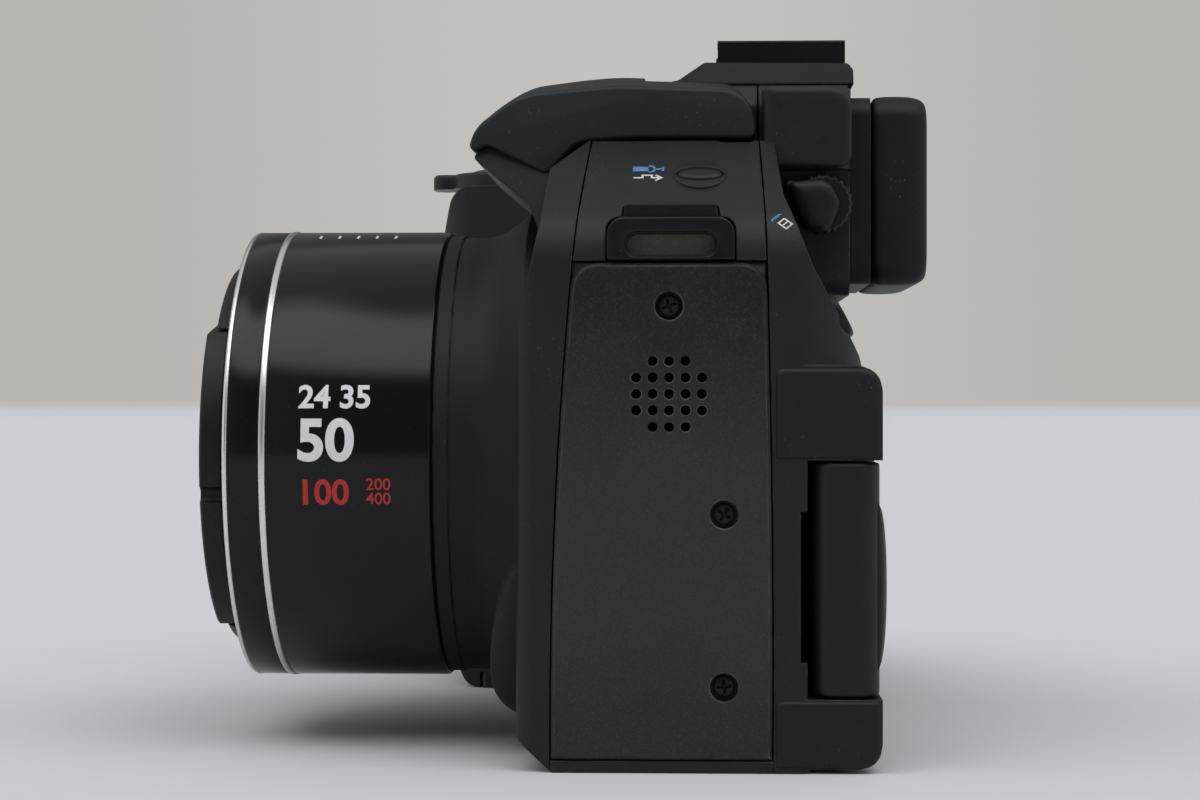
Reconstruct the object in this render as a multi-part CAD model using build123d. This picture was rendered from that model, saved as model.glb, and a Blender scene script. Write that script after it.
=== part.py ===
from build123d import *
import math
import os

os.makedirs("parts", exist_ok=True)

# A bridge camera with a long zoom lens, a swing-out screen and a raised flash.
# The origin is the mouth of the tripod socket, right under the lens axis.
# +X is the photographer's left, -Y is the way the lens looks, +Z is up.

# Body, measured from the lens axis and the socket
left_width = 36.5
right_width = 88.0
front_depth = 20.2
back_depth = 20.3
saddle_height = 74.6
saddle_width = 21.5
wall = 2.0
body_round = 4.0
side_drop = 11.6
side_round = 9.0
shoulder_share = 0.533
shoulder_run = (left_width - saddle_width) * shoulder_share
shoulder_drop = 5.0
shoulder_round = 20.0
deck_drop = 3.6
deck_run = 5.5

# Gaps shared by every piece
seam_gap = 0.2
seat_gap = 0.1
loose_gap = 0.35
pin_gap = 0.05
corner_slip = 0.05
overrun = 5.0

# Grip
grip_start_share = 0.494
grip_start = right_width * grip_start_share
grip_depth = 39.0
grip_rise = 0.7
grip_height = saddle_height + grip_rise
grip_round = 4.0
skin_thickness = 0.9
skin_bottom = 7.0
skin_drop = 13.3
skin_top = grip_height - skin_drop
skin_start_share = 0.568
skin_start = right_width * skin_start_share
skin_edge = 16.8

# Hump over the lens, with the viewfinder behind it
core_width = 16.3
crown_width = 14.5
hump_rise = 7.6
hump_height = saddle_height + hump_rise
hump_front = 4.3
hump_back = 19.6
crown_drop = 2.7
lobe_front = 8.9
lobe_width = 21.8
lobe_sink = 3.4
lobe_bottom = saddle_height - lobe_sink
lobe_rise = 6.6
lobe_height = saddle_height + lobe_rise
lobe_round = 3.2
finder_width = 18.0
finder_sink = 18.6
finder_bottom = saddle_height - finder_sink
brow_depth = 26.6
brow_width = 20.0
brow_spread = 5.0

# Seams between the front shell, the middle and the rear shell
seam_front_foot = 16.2
seam_front_middle = 15.4
seam_front_top = 12.0
seam_back_foot = 9.6
seam_back_middle = 9.5
seam_back_top = 8.5
bottom_seam = 2.8
side_seam_drop = 15.5
side_seam = saddle_height - side_seam_drop
grip_seam_share = 0.523
grip_seam = right_width * grip_seam_share

# Lens, measured forward from the socket along the lens axis
lens_height = 36.2
lens_bore = 27.3
collar_back = 15.0
collar_radius = 31.2
collar_neck = 28.0
collar_front = 28.9
band_radius = 28.2
band_front = 30.7
sleeve_radius = 28.7
sleeve_front = 55.8
trim_middle = 51.1
trim_width = 0.9
trim_depth = 0.5
trim_proud = 0.1
trim_edge_width = 0.5
lens_chamber = 9.0
tube_wall = 1.1
tube_back = 12.4
tube_setback = 0.5
inner_back = 16.0
bezel_lip = 0.8
bezel_depth = 5.0
filter_depth = 2.6
glass_radius = 17.2
glass_edge = 2.7
glass_dome = 2.6
sensor_width = 15.0
sensor_height = 11.0
sensor_thickness = 2.0

# Lens cap
cap_radius = 24.4
cap_front = 58.5
cap_plate = 2.5
cap_plug = 2.0
cap_edge = 0.8
cap_turn = 11.0
tab_width = 18.6
tab_inner = 20.3
tab_height = 2.7
tab_proud = 1.0
tab_travel = 1.5
tab_edge = 0.3
nick_radius = 1.0

# Side panel with the speaker
panel_proud = 0.35
panel_bottom = 1.4
panel_edge = 0.35
panel_corner = 3.0
screw_head = 1.3
screw_bore = 1.65
screw_shank = 0.8
screw_length = 5.0
screw_sunk = 0.5
speaker_hole = 0.575
speaker_pitch = 1.9
speaker_rows = 5
speaker_y = -2.4
speaker_z = 43.8
speaker_radius = 5.6
speaker_depth = 3.0
speaker_back_radius = 3.4

# Strap lugs
lug_length = 14.9
lug_middle = -2.2
lug_bottom = side_seam + seat_gap
lug_height = 5.1
lug_crown_length = 11.2
lug_crown_height = 1.6
lug_slot_length = 10.6
lug_slot_height = 2.8
lug_slot_lift = 0.5
lug_proud_left = 0.4
lug_proud_right = 2.0
lug_depth = 4.4
lug_round = 1.6

# Flash head
pivot_y = 5.6
pivot_rise = 2.8
pivot_height = saddle_height + pivot_rise
arm_back = 8.0
arm_lift = 0.2
arm_height = 6.0
arm_round = 4.0
arm_heel = 0.8
flash_width = 21.5
flash_depth = 27.1
flash_rise = 9.6
flash_height = saddle_height + flash_rise
flash_crown = 7.0
flash_side_rise = 7.1
flash_side = saddle_height + flash_side_rise
flash_corner = 1.6
flash_sweep = 30.0
crest_back = 5.7
arm_gap = 0.55
hinge_radius = 1.0
hinge_reach = 4.0
window_width = 26.0
window_length = 6.2
window_thickness = 1.2

# Accessory shoe
plate_rise = 3.0
plate_back = 20.3
plate_width = 14.3
shoe_front = 3.5
shoe_length = 16.0
shoe_slot = 9.4
shoe_mouth = 6.4
shoe_room = 2.1
shoe_sheet = 0.6
contact_radius = 0.9
contact_rise = 0.15

# Viewfinder
finder_drop = 5.5
finder_height = saddle_height - finder_drop
frame_width = 15.4
frame_half_height = 11.6
frame_thickness = 2.7
frame_round = 2.5
cup_depth = 7.2
cup_width = 15.8
cup_half_height = 11.8
cup_mouth_width = 12.6
cup_mouth_height = 8.8
cup_taper = 12.0
finder_window_width = 9.3
finder_window_height = 6.8
finder_glass = 1.5
dioptre_drop = 7.7
dioptre_height = saddle_height - dioptre_drop
dioptre_y = 16.1
dioptre_radius = 3.95
dioptre_width = 3.5
dioptre_flutes = 20
dioptre_hub = 2.2

# Swing-out screen, measured from its upright swing axis
swing_inset = 4.0
swing_y = 18.1
screen_half = 3.9
screen_near = 6.1
controls_room = 43.0
screen_width = left_width - swing_inset - screen_near + right_width - controls_room
screen_bottom = 1.2
screen_drop = 28.6
screen_top = saddle_height - screen_drop
screen_round = 2.5
screen_edge = 1.0
tilt_radius = 2.2
tilt_reach = 8.0
bar_reach = 5.6
bar_round = 2.5
bar_bottom = 8.9
bar_drop = 38.8
bar_top = saddle_height - bar_drop
tilt_height = (bar_bottom + bar_top) / 2
bar_bulge = 2.0
bulge_lift = 3.9
bulge_bottom = bar_bottom + bulge_lift
bulge_drop = 5.6
bulge_top = bar_top - bulge_drop
bulge_near = 1.5
bulge_far = 2.4
hinge_pin = 1.8
hinge_pin_length = 3.5
swing_clear = 5.9
notch_clear = 6.6
ear_width = 7.5
ear_front = 9.8
ear_back = 22.2
ear_drop = 27.5
upper_ear_top = saddle_height - ear_drop
lower_ear_bottom = 0.5
ear_round = 3.2
display_side = 13.4
display_width = screen_width - display_side
display_rim = 4.8
display_height = screen_top - screen_bottom - display_rim
display_glass = 1.0
display_shift = 4.0

# Controls
button_edge = 0.4
button_depth = 3.0
button_travel = 0.8
shutter_inset = 26.0
shutter_x = shutter_inset - right_width
shutter_y = -28.0
shutter_radius = 6.2
shutter_rise = 3.3
shutter_dome = 1.2
lever_wall = 2.5
lever_rise = 2.6
lever_reach = 11.7
lever_tab = 3.0
dial_inset = 50.5
dial_x = dial_inset - right_width
dial_y = -1.5
dial_radius = 8.6
dial_rise = 6.0
dial_flutes = 24
flute_radius = 0.6
dial_shaft = 3.0
shaft_length = 4.0
power_inset = 31.0
power_x = power_inset - right_width
power_radius = 4.2
power_rise = 1.2
shoulder_button_x = 28.0
shoulder_button_y = 1.2
shoulder_button_radius = 2.75
shoulder_button_rise = 0.8
slope_button_radius = 3.0
slope_button_rise = 0.7
shortcut_x = 31.0
movie_inset = 61.0
movie_x = movie_inset - right_width
lock_inset = 24.0
lock_x = lock_inset - right_width
focus_inset = 11.0
focus_x = focus_inset - right_width
wheel_inset = 21.5
wheel_x = wheel_inset - right_width
wheel_z = 24.0
wheel_radius = 12.0
wheel_rise = 1.6
wheel_sunk = 1.5
set_radius = 4.8
set_rise = 1.2
menu_spread = 12.2
menu_z = 7.2
menu_radius = 2.9
menu_rise = 0.7
release_inner = 32.0
release_outer = 36.0
release_start = 26.0
release_end = 62.0
release_front = 24.5
release_edge = 0.8
lamp_inset = 51.0
lamp_x = lamp_inset - right_width
lamp_y = 18.8
lamp_drop = 17.6
lamp_z = saddle_height - lamp_drop
lamp_radius = 3.0
lamp_sunk = 0.3
lamp_depth = 3.0

# Battery chamber, card slot and terminals
cell_radius = 7.25
cell_length = 50.5
cell_pitch = 15.0
cell_share = 0.739
cell_x = -right_width * cell_share
cell_y = -15.0
cell_gap = 0.3
cell_tip_radius = 2.6
cell_tip = 1.0
door_thickness = 2.0
door_margin = 1.0
door_pin = 0.6
door_pin_length = 1.5
card_width = 32.0
card_height = 24.0
card_thickness = 2.1
card_y = 3.2
card_middle = 29.0
card_sunk = 2.6
card_door_width = 10.0
card_door_height = 30.0
flap_thickness = 1.8
terminal_drop = 6.6
terminal_middle = side_seam - terminal_drop
terminal_width = 16.0
terminal_height = 9.0
socket_width = 5.6
socket_height = 3.0
socket_depth = 4.5
socket_wall = 0.5
socket_spread = 3.6

# Base
tripod_radius = 3.175
tripod_depth = 5.5
tripod_insert = 5.0
tripod_wall = 1.5
base_screw_radius = 1.4
base_screw_length = 6.0


# Helpers

def outline(rows):
    """A flat closed shape from rows of across, up and corner radius."""
    points = [(x, y) for x, y, radius in rows]
    radii = [radius for x, y, radius in rows]
    return make_face(FilletPolyline(*points, radius=radii, close=True))


def scaled(rows, width, height, rounding):
    """Outline rows in real sizes from rows of shares."""
    return [(x * width, y * height, r * rounding) for x, y, r in rows]


def mirrored(rows):
    """A symmetric outline from the rows of its +X half, bottom to top."""
    return outline(rows + [(-x, y, radius) for x, y, radius in reversed(rows)])


def shrunk(shape, inset):
    """An outline moved inward by an inset."""
    if inset == 0:
        return shape
    return offset(shape, -inset)


def drawn(frame, shape, start, end):
    """A flat shape drawn out along a frame's own axis."""
    return extrude(frame.offset(start) * shape, end - start, dir=frame.z_dir)


def across(shape, start, end):
    """A Y-Z outline drawn out along X."""
    return drawn(Plane.YZ, shape, start, end)


def along(shape, start, end):
    """An X-Z outline drawn out along Y."""
    return drawn(Plane.XZ, shape, -end, -start)


def upward(shape, start, end):
    """An X-Y outline drawn out along Z."""
    return drawn(Plane.XY, shape, start, end)


def block(x, y, z):
    """A box between three pairs of limits."""
    size = Box(x[1] - x[0], y[1] - y[0], z[1] - z[0])
    return Pos((x[0] + x[1]) / 2, (y[0] + y[1]) / 2, (z[0] + z[1]) / 2) * size


def rod(frame, radius, start, end):
    """A round bar on a frame's own axis."""
    return drawn(frame, Circle(radius), start, end)


def ring(frame, outer, inner, start, end):
    """A plain ring on a frame's own axis."""
    return drawn(frame, Circle(outer) - Circle(inner), start, end)


def turned(rows):
    """A ring turned about the lens axis, from rows of radius, forward and corner radius."""
    face = outline([(radius, -forward, corner) for radius, forward, corner in rows])
    return Pos(0, 0, lens_height) * revolve(face, Axis.Y)


def joined(pieces):
    """Several solids as one."""
    whole = pieces[0]
    for piece in pieces[1:]:
        whole = whole + piece
    return whole


def without(solid, cuts):
    """A solid with each of the cuts taken out of it."""
    for cut in cuts:
        solid = solid - cut
    return solid


def group(pieces):
    """Separate solids kept in one piece."""
    return Compound(children=[piece for piece in pieces])


def end_edges(solid, axis):
    """The edges round the last face along an axis."""
    return solid.faces().sort_by(axis)[-1].edges()


# Frames that the pieces sit on

lens_frame = Plane(origin=(0, 0, lens_height), x_dir=(1, 0, 0), z_dir=(0, -1, 0))
finder_face = hump_back + corner_slip
deck_height = saddle_height - deck_drop
swing_x = left_width - swing_inset
sleeve_groove = sleeve_radius - trim_depth


def up_frame(x, y, z):
    """A frame that faces up."""
    return Plane(origin=(x, y, z), x_dir=(1, 0, 0), z_dir=(0, 0, 1))


def back_frame(x, z):
    """A frame on the flat rear face, which faces the photographer."""
    return Plane(origin=(x, back_depth, z), x_dir=(-1, 0, 0), z_dir=(0, 1, 0))


# Body forms, which the shells and the chassis share

front_edge_shares = [
    (-0.79, 0, 0.2), (-1, 0.052, 0.375), (-1, 0.67, 3), (-0.86, 0.858, 1.5),
    (-0.825, 0.949, 0.1), (-0.61, 1, 0),
]
back_edge_shares = [
    (0.50, 1, 0), (0.54, 0.90, 1), (0.70, 0.785, 1.2), (1, 0.637, 1.2), (1, 0, 0.75),
]
grip_plan_shares = [
    (-0.494, 0, 0), (-0.494, -0.52, 0.75), (-0.568, -0.95, 1.75), (-0.727, -1, 2.5),
    (-0.955, -0.936, 1.75), (-1, -0.41, 2), (-1, 0, 0),
]
grip_side_shares = [
    (0, 0, 0), (-0.86, 0, 0.75), (-0.985, 0.17, 3), (-1, 0.80, 2), (-0.915, 1, 0.9),
    (-0.36, 1, 0.75), (-0.20, 0.93, 0), (0, 0.93, 0),
]
brow_shares = [
    (-1, 0.976, 0.12), (-0.929, 0.993, 0.05), (-0.711, 0.960, 0.25), (-0.526, 0.946, 0),
    (-0.45, 0.81, 0), (-0.662, 0.831, 0), (-0.737, 0.897, 0.75), (-0.876, 0.938, 0.75),
]
slope_top_share = (0.70, 0.785)
slope_foot_share = (1, 0.637)


def main_block(inset):
    """The body between lens and back, without the hump and the grip."""
    above = saddle_height + overrun
    front = outline([
        (left_width, -overrun, 0),
        (left_width, saddle_height - side_drop, side_round),
        (left_width - shoulder_run, saddle_height - shoulder_drop, shoulder_round),
        (saddle_width, saddle_height, body_round * 0.2),
        (-saddle_width, saddle_height, body_round * 0.2),
        (-saddle_width - deck_run, deck_height, body_round * 0.5),
        (-right_width, deck_height, side_round),
        (-right_width, -overrun, 0),
    ])
    front_rows = scaled(front_edge_shares, front_depth, saddle_height, body_round)
    back_rows = scaled(back_edge_shares, back_depth, saddle_height, body_round)
    roof = [(front_rows[-1][0], above, 0), (back_rows[0][0], above, 0)]
    side = outline(front_rows + roof + back_rows)
    plan = outline([
        (left_width + corner_slip, -front_depth - corner_slip, body_round * 0.55),
        (left_width + corner_slip, back_depth + corner_slip, side_round),
        (-right_width - corner_slip, back_depth + corner_slip, side_round),
        (-right_width - corner_slip, -front_depth - corner_slip, body_round),
    ])
    form = along(shrunk(front, inset), -front_depth - overrun, back_depth + overrun)
    form = form & across(shrunk(side, inset), -right_width - overrun, left_width + overrun)
    return form & upward(shrunk(plan, inset), -overrun, above)


def grip_block(inset):
    """The right-hand grip."""
    outer = right_width + corner_slip
    plan = outline(scaled(grip_plan_shares, outer, grip_depth, grip_round))
    side = outline(scaled(grip_side_shares, grip_depth, grip_height, grip_round))
    top = grip_height + corner_slip
    front = outline([
        (-grip_start + grip_round / 2, -overrun, 0),
        (-grip_start + grip_round / 2, top, grip_round * 1.5),
        (-right_width, top, side_round),
        (-right_width, -overrun, 0),
    ])
    form = upward(shrunk(plan, inset), -overrun, grip_height + overrun)
    form = form & across(shrunk(side, inset), -right_width - overrun, overrun)
    return form & along(shrunk(front, inset), -grip_depth - overrun, overrun)


def hump_core(inset):
    """The middle of the hump, which the flash arms embrace."""
    front = mirrored([
        (core_width, lobe_bottom - overrun, 0),
        (core_width, hump_height - crown_drop, body_round * 0.4),
        (crown_width, hump_height, body_round * 0.2),
    ])
    return along(shrunk(front, inset), inset - hump_front, hump_back - corner_slip - inset)


def finder_block(inset):
    """The eyepiece housing under the lobes."""
    front = mirrored([
        (finder_width, finder_bottom, body_round * 0.5),
        (finder_width, lobe_bottom + body_round * 1.2, 0),
    ])
    return along(shrunk(front, inset), lobe_front + corner_slip, hump_back - inset)


def lobe_block(inset):
    """The rounded lobes beside the rear of the hump."""
    outer = lobe_width + corner_slip
    back = hump_back + corner_slip
    front = mirrored([
        (lobe_width, lobe_bottom, body_round * 0.2),
        (lobe_width, lobe_height, lobe_round),
    ])
    plan = outline([
        (outer, lobe_front, body_round * 0.25),
        (outer, back, lobe_round),
        (-outer, back, lobe_round),
        (-outer, lobe_front, body_round * 0.25),
    ])
    form = along(shrunk(front, inset), lobe_front - overrun, hump_back + overrun)
    return form & upward(shrunk(plan, inset), lobe_bottom - overrun, lobe_height + overrun)


def brow_block():
    """The lip over the lens that the closed flash rests on."""
    side = outline(scaled(brow_shares, brow_depth, saddle_height, body_round))
    front = mirrored([
        (brow_width + brow_spread, finder_bottom, 0),
        (brow_width, saddle_height, body_round * 0.3),
    ])
    form = across(side, -brow_width - brow_spread, brow_width + brow_spread)
    return form & along(front, -brow_depth - overrun, 0)


def screen_recess(grow):
    """The room behind the body for the closed screen and its hinge bar."""
    floor = swing_y - screen_half - loose_gap - grow
    far_end = swing_x - screen_near - screen_width - loose_gap - grow
    room = block(
        (far_end, left_width + overrun),
        (floor, back_depth + overrun),
        (-overrun, screen_top + loose_gap + grow),
    )
    axis = up_frame(swing_x, swing_y, 0)
    turn = rod(axis, swing_clear + grow, bar_bottom - loose_gap - grow, bar_top + loose_gap + grow)
    notch = rod(axis, notch_clear + grow, bulge_bottom - grow, bulge_top + grow)
    return room + turn + notch


def body_form(inset):
    """The whole body's form, moved inward by an inset."""
    pieces = [
        main_block(inset), grip_block(inset), hump_core(inset),
        finder_block(inset), lobe_block(inset),
    ]
    return joined(pieces) - screen_recess(inset)


def middle_band(gap):
    """The Y-Z outline between the two seams, narrowed by a gap at both."""
    top = flash_height + overrun
    front = ThreePointArc(
        (-seam_front_foot + gap, -overrun),
        (-seam_front_middle + gap, lens_height),
        (-seam_front_top + gap, saddle_height),
    )
    back = ThreePointArc(
        (seam_back_foot - gap, -overrun),
        (seam_back_middle - gap, lens_height),
        (seam_back_top - gap, saddle_height),
    )
    head = Polyline(front @ 1, (-seam_front_top + gap, top), (seam_back_top - gap, top), back @ 1)
    foot = Line(front @ 0, back @ 0)
    return make_face([front, head, back, foot])


def front_region():
    """Everything ahead of the front seam."""
    half = block(
        (-right_width - overrun, left_width + overrun),
        (-grip_depth - overrun, seam_back_foot - overrun),
        (-overrun, flash_height),
    )
    return half - across(middle_band(0), -right_width - overrun, left_width + overrun)


def back_region():
    """Everything behind the rear seam."""
    half = block(
        (-right_width - overrun, left_width + overrun),
        (-seam_front_top + overrun, ear_back + overrun),
        (-overrun, flash_height),
    )
    return half - across(middle_band(0), -right_width - overrun, left_width + overrun)


def middle_region(x, z):
    """A stretch of the body between the seams."""
    band = across(middle_band(seam_gap), x[0], x[1])
    return band & block(x, (-grip_depth, back_depth), z)


def bottom_region():
    """The base plate's share of the body, wider under the grip."""
    plan = outline([
        (left_width + overrun, -seam_front_foot, 0),
        (left_width + overrun, seam_back_foot, 0),
        (-right_width - overrun, seam_back_foot, 0),
        (-right_width - overrun, -grip_depth - overrun, 0),
        (-grip_seam, -grip_depth - overrun, 0),
        (-grip_seam, -seam_front_foot, 0),
    ])
    return upward(plan, -overrun, bottom_seam)


# Side panel, speaker and strap lugs

screw_place_shares = [(-0.25, 0.913), (0.41, 0.506), (0.41, 0.169)]


def panel_outline(gap):
    """The side panel's Y-Z outline, which follows both seams."""
    top = side_seam - gap
    band = middle_band(gap)
    room = outline([
        (-grip_depth, panel_bottom + gap, 0), (back_depth, panel_bottom + gap, 0),
        (back_depth, top, 0), (-grip_depth, top, 0),
    ])
    face = band & room
    corners = face.vertices().sort_by(Axis.Y)[-2:]
    return fillet(corners, panel_corner)


def panel_screws():
    """The axes of the side panel's screws."""
    return [
        Plane(
            origin=(left_width, seam_back_foot * y, side_seam * z),
            x_dir=(0, 1, 0), z_dir=(1, 0, 0),
        )
        for y, z in screw_place_shares
    ]


def speaker_holes():
    """The speaker's grid of holes, without its four corners."""
    frame = Plane(origin=(left_width, speaker_y, speaker_z), x_dir=(0, 1, 0), z_dir=(1, 0, 0))
    last = speaker_rows - 1
    places = [
        ((column - last / 2) * speaker_pitch, (row - last / 2) * speaker_pitch)
        for column in range(speaker_rows)
        for row in range(speaker_rows)
        if not (column in (0, last) and row in (0, last))
    ]
    holes = Sketch() + [Pos(*place) * Circle(speaker_hole) for place in places]
    return drawn(frame, holes, -wall - overrun, overrun)


def side_panel():
    """The speckled plate on the left side."""
    plate = across(panel_outline(seam_gap), left_width - wall, left_width + panel_proud)
    plate = chamfer(end_edges(plate, Axis.X), panel_edge)
    bores = [rod(frame, screw_bore, -screw_sunk - screw_sunk, overrun) for frame in panel_screws()]
    shanks = [rod(frame, screw_shank + pin_gap, -overrun, overrun) for frame in panel_screws()]
    return without(plate, bores + shanks + [speaker_holes()])


def side_panel_screws():
    """Three small screws sunk in the side panel."""
    screws = []
    for frame in panel_screws():
        head = rod(frame, screw_head, -screw_sunk - screw_sunk, 0)
        head = chamfer(end_edges(head, Axis.X), screw_sunk / 2)
        screws.append(head + rod(frame, screw_shank, -screw_length, -screw_sunk))
    return group(screws)


def speaker():
    """The small loudspeaker behind the side panel's holes."""
    frame = Plane(
        origin=(left_width - wall, speaker_y, speaker_z), x_dir=(0, 1, 0), z_dir=(1, 0, 0)
    )
    rim = rod(frame, speaker_radius, -speaker_depth / 2, 0)
    return rim + rod(frame, speaker_back_radius, -speaker_depth, 0)


def lug_shape(gap):
    """A strap lug's Y-Z outline without its slot, grown by a gap."""
    half = lug_length / 2 + gap
    top = lug_bottom + lug_height + gap
    crown = lug_crown_length / 2 + gap
    body = outline([
        (lug_middle - half, lug_bottom, 0), (lug_middle + half, lug_bottom, 0),
        (lug_middle + half, top, lug_round), (lug_middle - half, top, lug_round),
    ])
    return body + outline([
        (lug_middle - crown, top - lug_round, 0), (lug_middle + crown, top - lug_round, 0),
        (lug_middle + crown, top + lug_crown_height, lug_round / 2),
        (lug_middle - crown, top + lug_crown_height, lug_round / 2),
    ])


def lug_outline():
    """A strap lug's Y-Z outline with its slot."""
    slot = Pos(lug_middle, lug_bottom + lug_slot_lift + lug_slot_height / 2)
    return lug_shape(0) - slot * SlotOverall(lug_slot_length, lug_slot_height)


def strap_lug_left():
    """The strap lug on the left shoulder."""
    outer = left_width + lug_proud_left
    return across(lug_outline(), outer - lug_depth, outer)


def strap_lug_right():
    """The strap lug on the grip's side."""
    outer = -right_width - lug_proud_right
    return across(lug_outline(), outer, outer + lug_depth + lug_proud_right)


def lug_seats():
    """The seats of both strap lugs and the strap's way behind each."""
    top = lug_bottom + lug_height + seat_gap
    shape = lug_shape(seat_gap)
    way = (lug_middle - lug_slot_length / 2, lug_middle + lug_slot_length / 2)
    left = left_width + lug_proud_left - lug_depth
    right = -right_width + lug_depth
    return [
        across(shape, left, left_width + overrun),
        across(shape, -right_width - overrun, right),
        block((left - lug_slot_height / 2, left), way, (lug_bottom + lug_slot_lift, top)),
        block((right, right + lug_slot_height / 2), way, (lug_bottom + lug_slot_lift, top)),
    ]


# Lens

def lens_collar():
    """The flared collar and the matt band that join the sleeve to the body."""
    rows = [
        (lens_bore, collar_back, 0),
        (collar_radius, collar_back, 0),
        (collar_radius, front_depth, 0),
        (collar_neck, (front_depth + collar_front) / 2, body_round * 1.5),
        (collar_neck, collar_front, 0),
        (band_radius, collar_front, 0),
        (band_radius, band_front, 0),
        (lens_bore, band_front, 0),
    ]
    return turned(rows)


def lens_sleeve():
    """The glossy fixed sleeve, with grooves for two trim rings."""
    half = trim_width / 2
    return turned([
        (lens_bore, band_front, 0),
        (sleeve_radius, band_front, trim_proud),
        (sleeve_radius, trim_middle - half, 0),
        (sleeve_groove, trim_middle - half, 0),
        (sleeve_groove, trim_middle + half, 0),
        (sleeve_radius, trim_middle + half, 0),
        (sleeve_radius, sleeve_front - trim_edge_width, 0),
        (sleeve_groove, sleeve_front - trim_edge_width, 0),
        (sleeve_groove, sleeve_front, 0),
        (lens_bore, sleeve_front, 0),
    ])


def trim_rings():
    """Two bright rings let into the sleeve."""
    half = trim_width / 2
    outer = sleeve_radius + trim_proud
    middle = ring(lens_frame, outer, sleeve_groove, trim_middle - half, trim_middle + half)
    edge = turned([
        (sleeve_groove, sleeve_front - trim_edge_width, 0),
        (sleeve_radius, sleeve_front - trim_edge_width, 0),
        (sleeve_radius, sleeve_front + trim_proud, trim_edge_width / 2),
        (sleeve_groove, sleeve_front + trim_proud, 0),
    ])
    return group([middle, edge])


outer_tube_radius = lens_bore - loose_gap
outer_tube_bore = outer_tube_radius - tube_wall
inner_tube_radius = outer_tube_bore - loose_gap
inner_tube_bore = inner_tube_radius - tube_wall
tube_front = sleeve_front - tube_setback


def zoom_tube_outer():
    """The first moving lens tube."""
    return ring(lens_frame, outer_tube_radius, outer_tube_bore, tube_back, tube_front)


def zoom_tube_inner():
    """The second moving lens tube, inside the first."""
    return ring(lens_frame, inner_tube_radius, inner_tube_bore, inner_back, tube_front)


def front_bezel():
    """The ring that holds the front glass, with room for a filter thread."""
    back = tube_front - bezel_depth
    step = tube_front - filter_depth
    return turned([
        (inner_tube_bore, back, 0),
        (inner_tube_bore, tube_front, 0),
        (inner_tube_bore - bezel_lip, tube_front, 0),
        (inner_tube_bore - bezel_lip, step, 0),
        (glass_radius, back + bezel_lip, 0),
        (glass_radius, back, 0),
    ])


def front_lens():
    """The domed front glass."""
    back = tube_front - bezel_depth - glass_edge
    front = back + glass_edge + bezel_lip + glass_dome
    dome = (glass_radius ** 2 + glass_dome ** 2) / (glass_dome * 2)
    ball = Pos(0, dome - front, lens_height) * Sphere(dome)
    return rod(lens_frame, glass_radius, back, front) & ball


def image_sensor():
    """The sensor at the end of the lens chamber."""
    half = sensor_width / 2
    rise = sensor_height / 2
    return block(
        (-half, half), (-lens_chamber, sensor_thickness - lens_chamber),
        (lens_height - rise, lens_height + rise),
    )


# Lens cap

def cap_frame(side):
    """The frame of one cap tab, whose x axis points out at its middle."""
    turn = math.radians(-cap_turn)
    outward = (side * math.cos(turn), 0, side * math.sin(turn))
    return Plane(origin=(0, 0, lens_height), x_dir=outward, z_dir=(0, -1, 0))


def tab_shape(inner, gap):
    """One tab's outline, cut straight so that it can slide inward."""
    half = tab_width + gap
    strip = outline([
        (0, -half, 0), (cap_radius + gap, -half, 0), (cap_radius + gap, half, 0), (0, half, 0),
    ])
    outer = cap_radius + gap * overrun
    return (Circle(outer) - Circle(inner)) & strip


def lens_cap():
    """The round snap-on cap, without its two tabs."""
    plug = inner_tube_bore - bezel_lip - loose_gap
    back = cap_front - cap_plate
    cap = turned([
        (0, back - cap_plug, 0), (plug, back - cap_plug, cap_edge / 2), (plug, back, 0),
        (cap_radius, back, 0), (cap_radius, cap_front, cap_edge), (0, cap_front, 0),
    ])
    floor = cap_front + tab_proud - tab_height - pin_gap
    room = tab_shape(tab_inner - tab_travel - loose_gap, loose_gap)
    for side in (1, -1):
        cap = cap - drawn(cap_frame(side), room, floor, floor + overrun)
    return cap


def cap_tab(side):
    """One of the two squeeze tabs, with a nick at its middle."""
    front = cap_front + tab_proud
    frame = cap_frame(side)
    tab = drawn(frame, tab_shape(tab_inner, 0), front - tab_height, front)
    tab = chamfer(end_edges(tab, Axis(origin=(0, 0, 0), direction=(0, -1, 0))), tab_edge)
    nick = Pos(cap_radius, 0) * Circle(nick_radius)
    return tab - drawn(frame, nick, front - tab_height, front)


# Flash

flash_side_shares = [
    (-1, 0.874, 0.15), (-0.955, 0.934, 1), (-0.80, 0.978, 1.25), (-0.21, 0.998, 0.2),
]
flash_chin_shares = [
    (-0.45, 0.893, 0.75), (-0.56, 0.876, 0.25), (-0.62, 0.849, 0.25), (-0.919, 0.8835, 0.2),
]


def flash_head():
    """The pop-up flash with the two arms that reach back to its hinge."""
    arm_foot = saddle_height + arm_lift
    rows = scaled(flash_side_shares, flash_depth, flash_height, body_round)
    rows = rows + [
        (-crest_back, arm_foot + arm_height, 0),
        (arm_back, arm_foot + arm_height, arm_round),
        (arm_back, arm_foot, arm_heel),
    ]
    rows = rows + scaled(flash_chin_shares, flash_depth, flash_height, body_round)
    section = mirrored([
        (flash_width, saddle_height - side_drop, 0),
        (flash_width, flash_side, flash_corner),
        (flash_crown, flash_height, flash_sweep),
    ])
    head = across(outline(rows), -flash_width - overrun, flash_width + overrun)
    head = head & along(section, -flash_depth - overrun, arm_back + overrun)
    inner = core_width + arm_gap
    pocket = block(
        (-inner, inner), (-crest_back, arm_back + overrun), (lobe_bottom, flash_height + overrun)
    )
    frame = window_frame()
    half = window_width / 2
    room = Rectangle(half * 2, window_length)
    head = head - pocket - drawn(frame, room, -window_thickness - pin_gap, overrun)
    return head - hinge_bar(hinge_radius + pin_gap, flash_width - hinge_radius)


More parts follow.
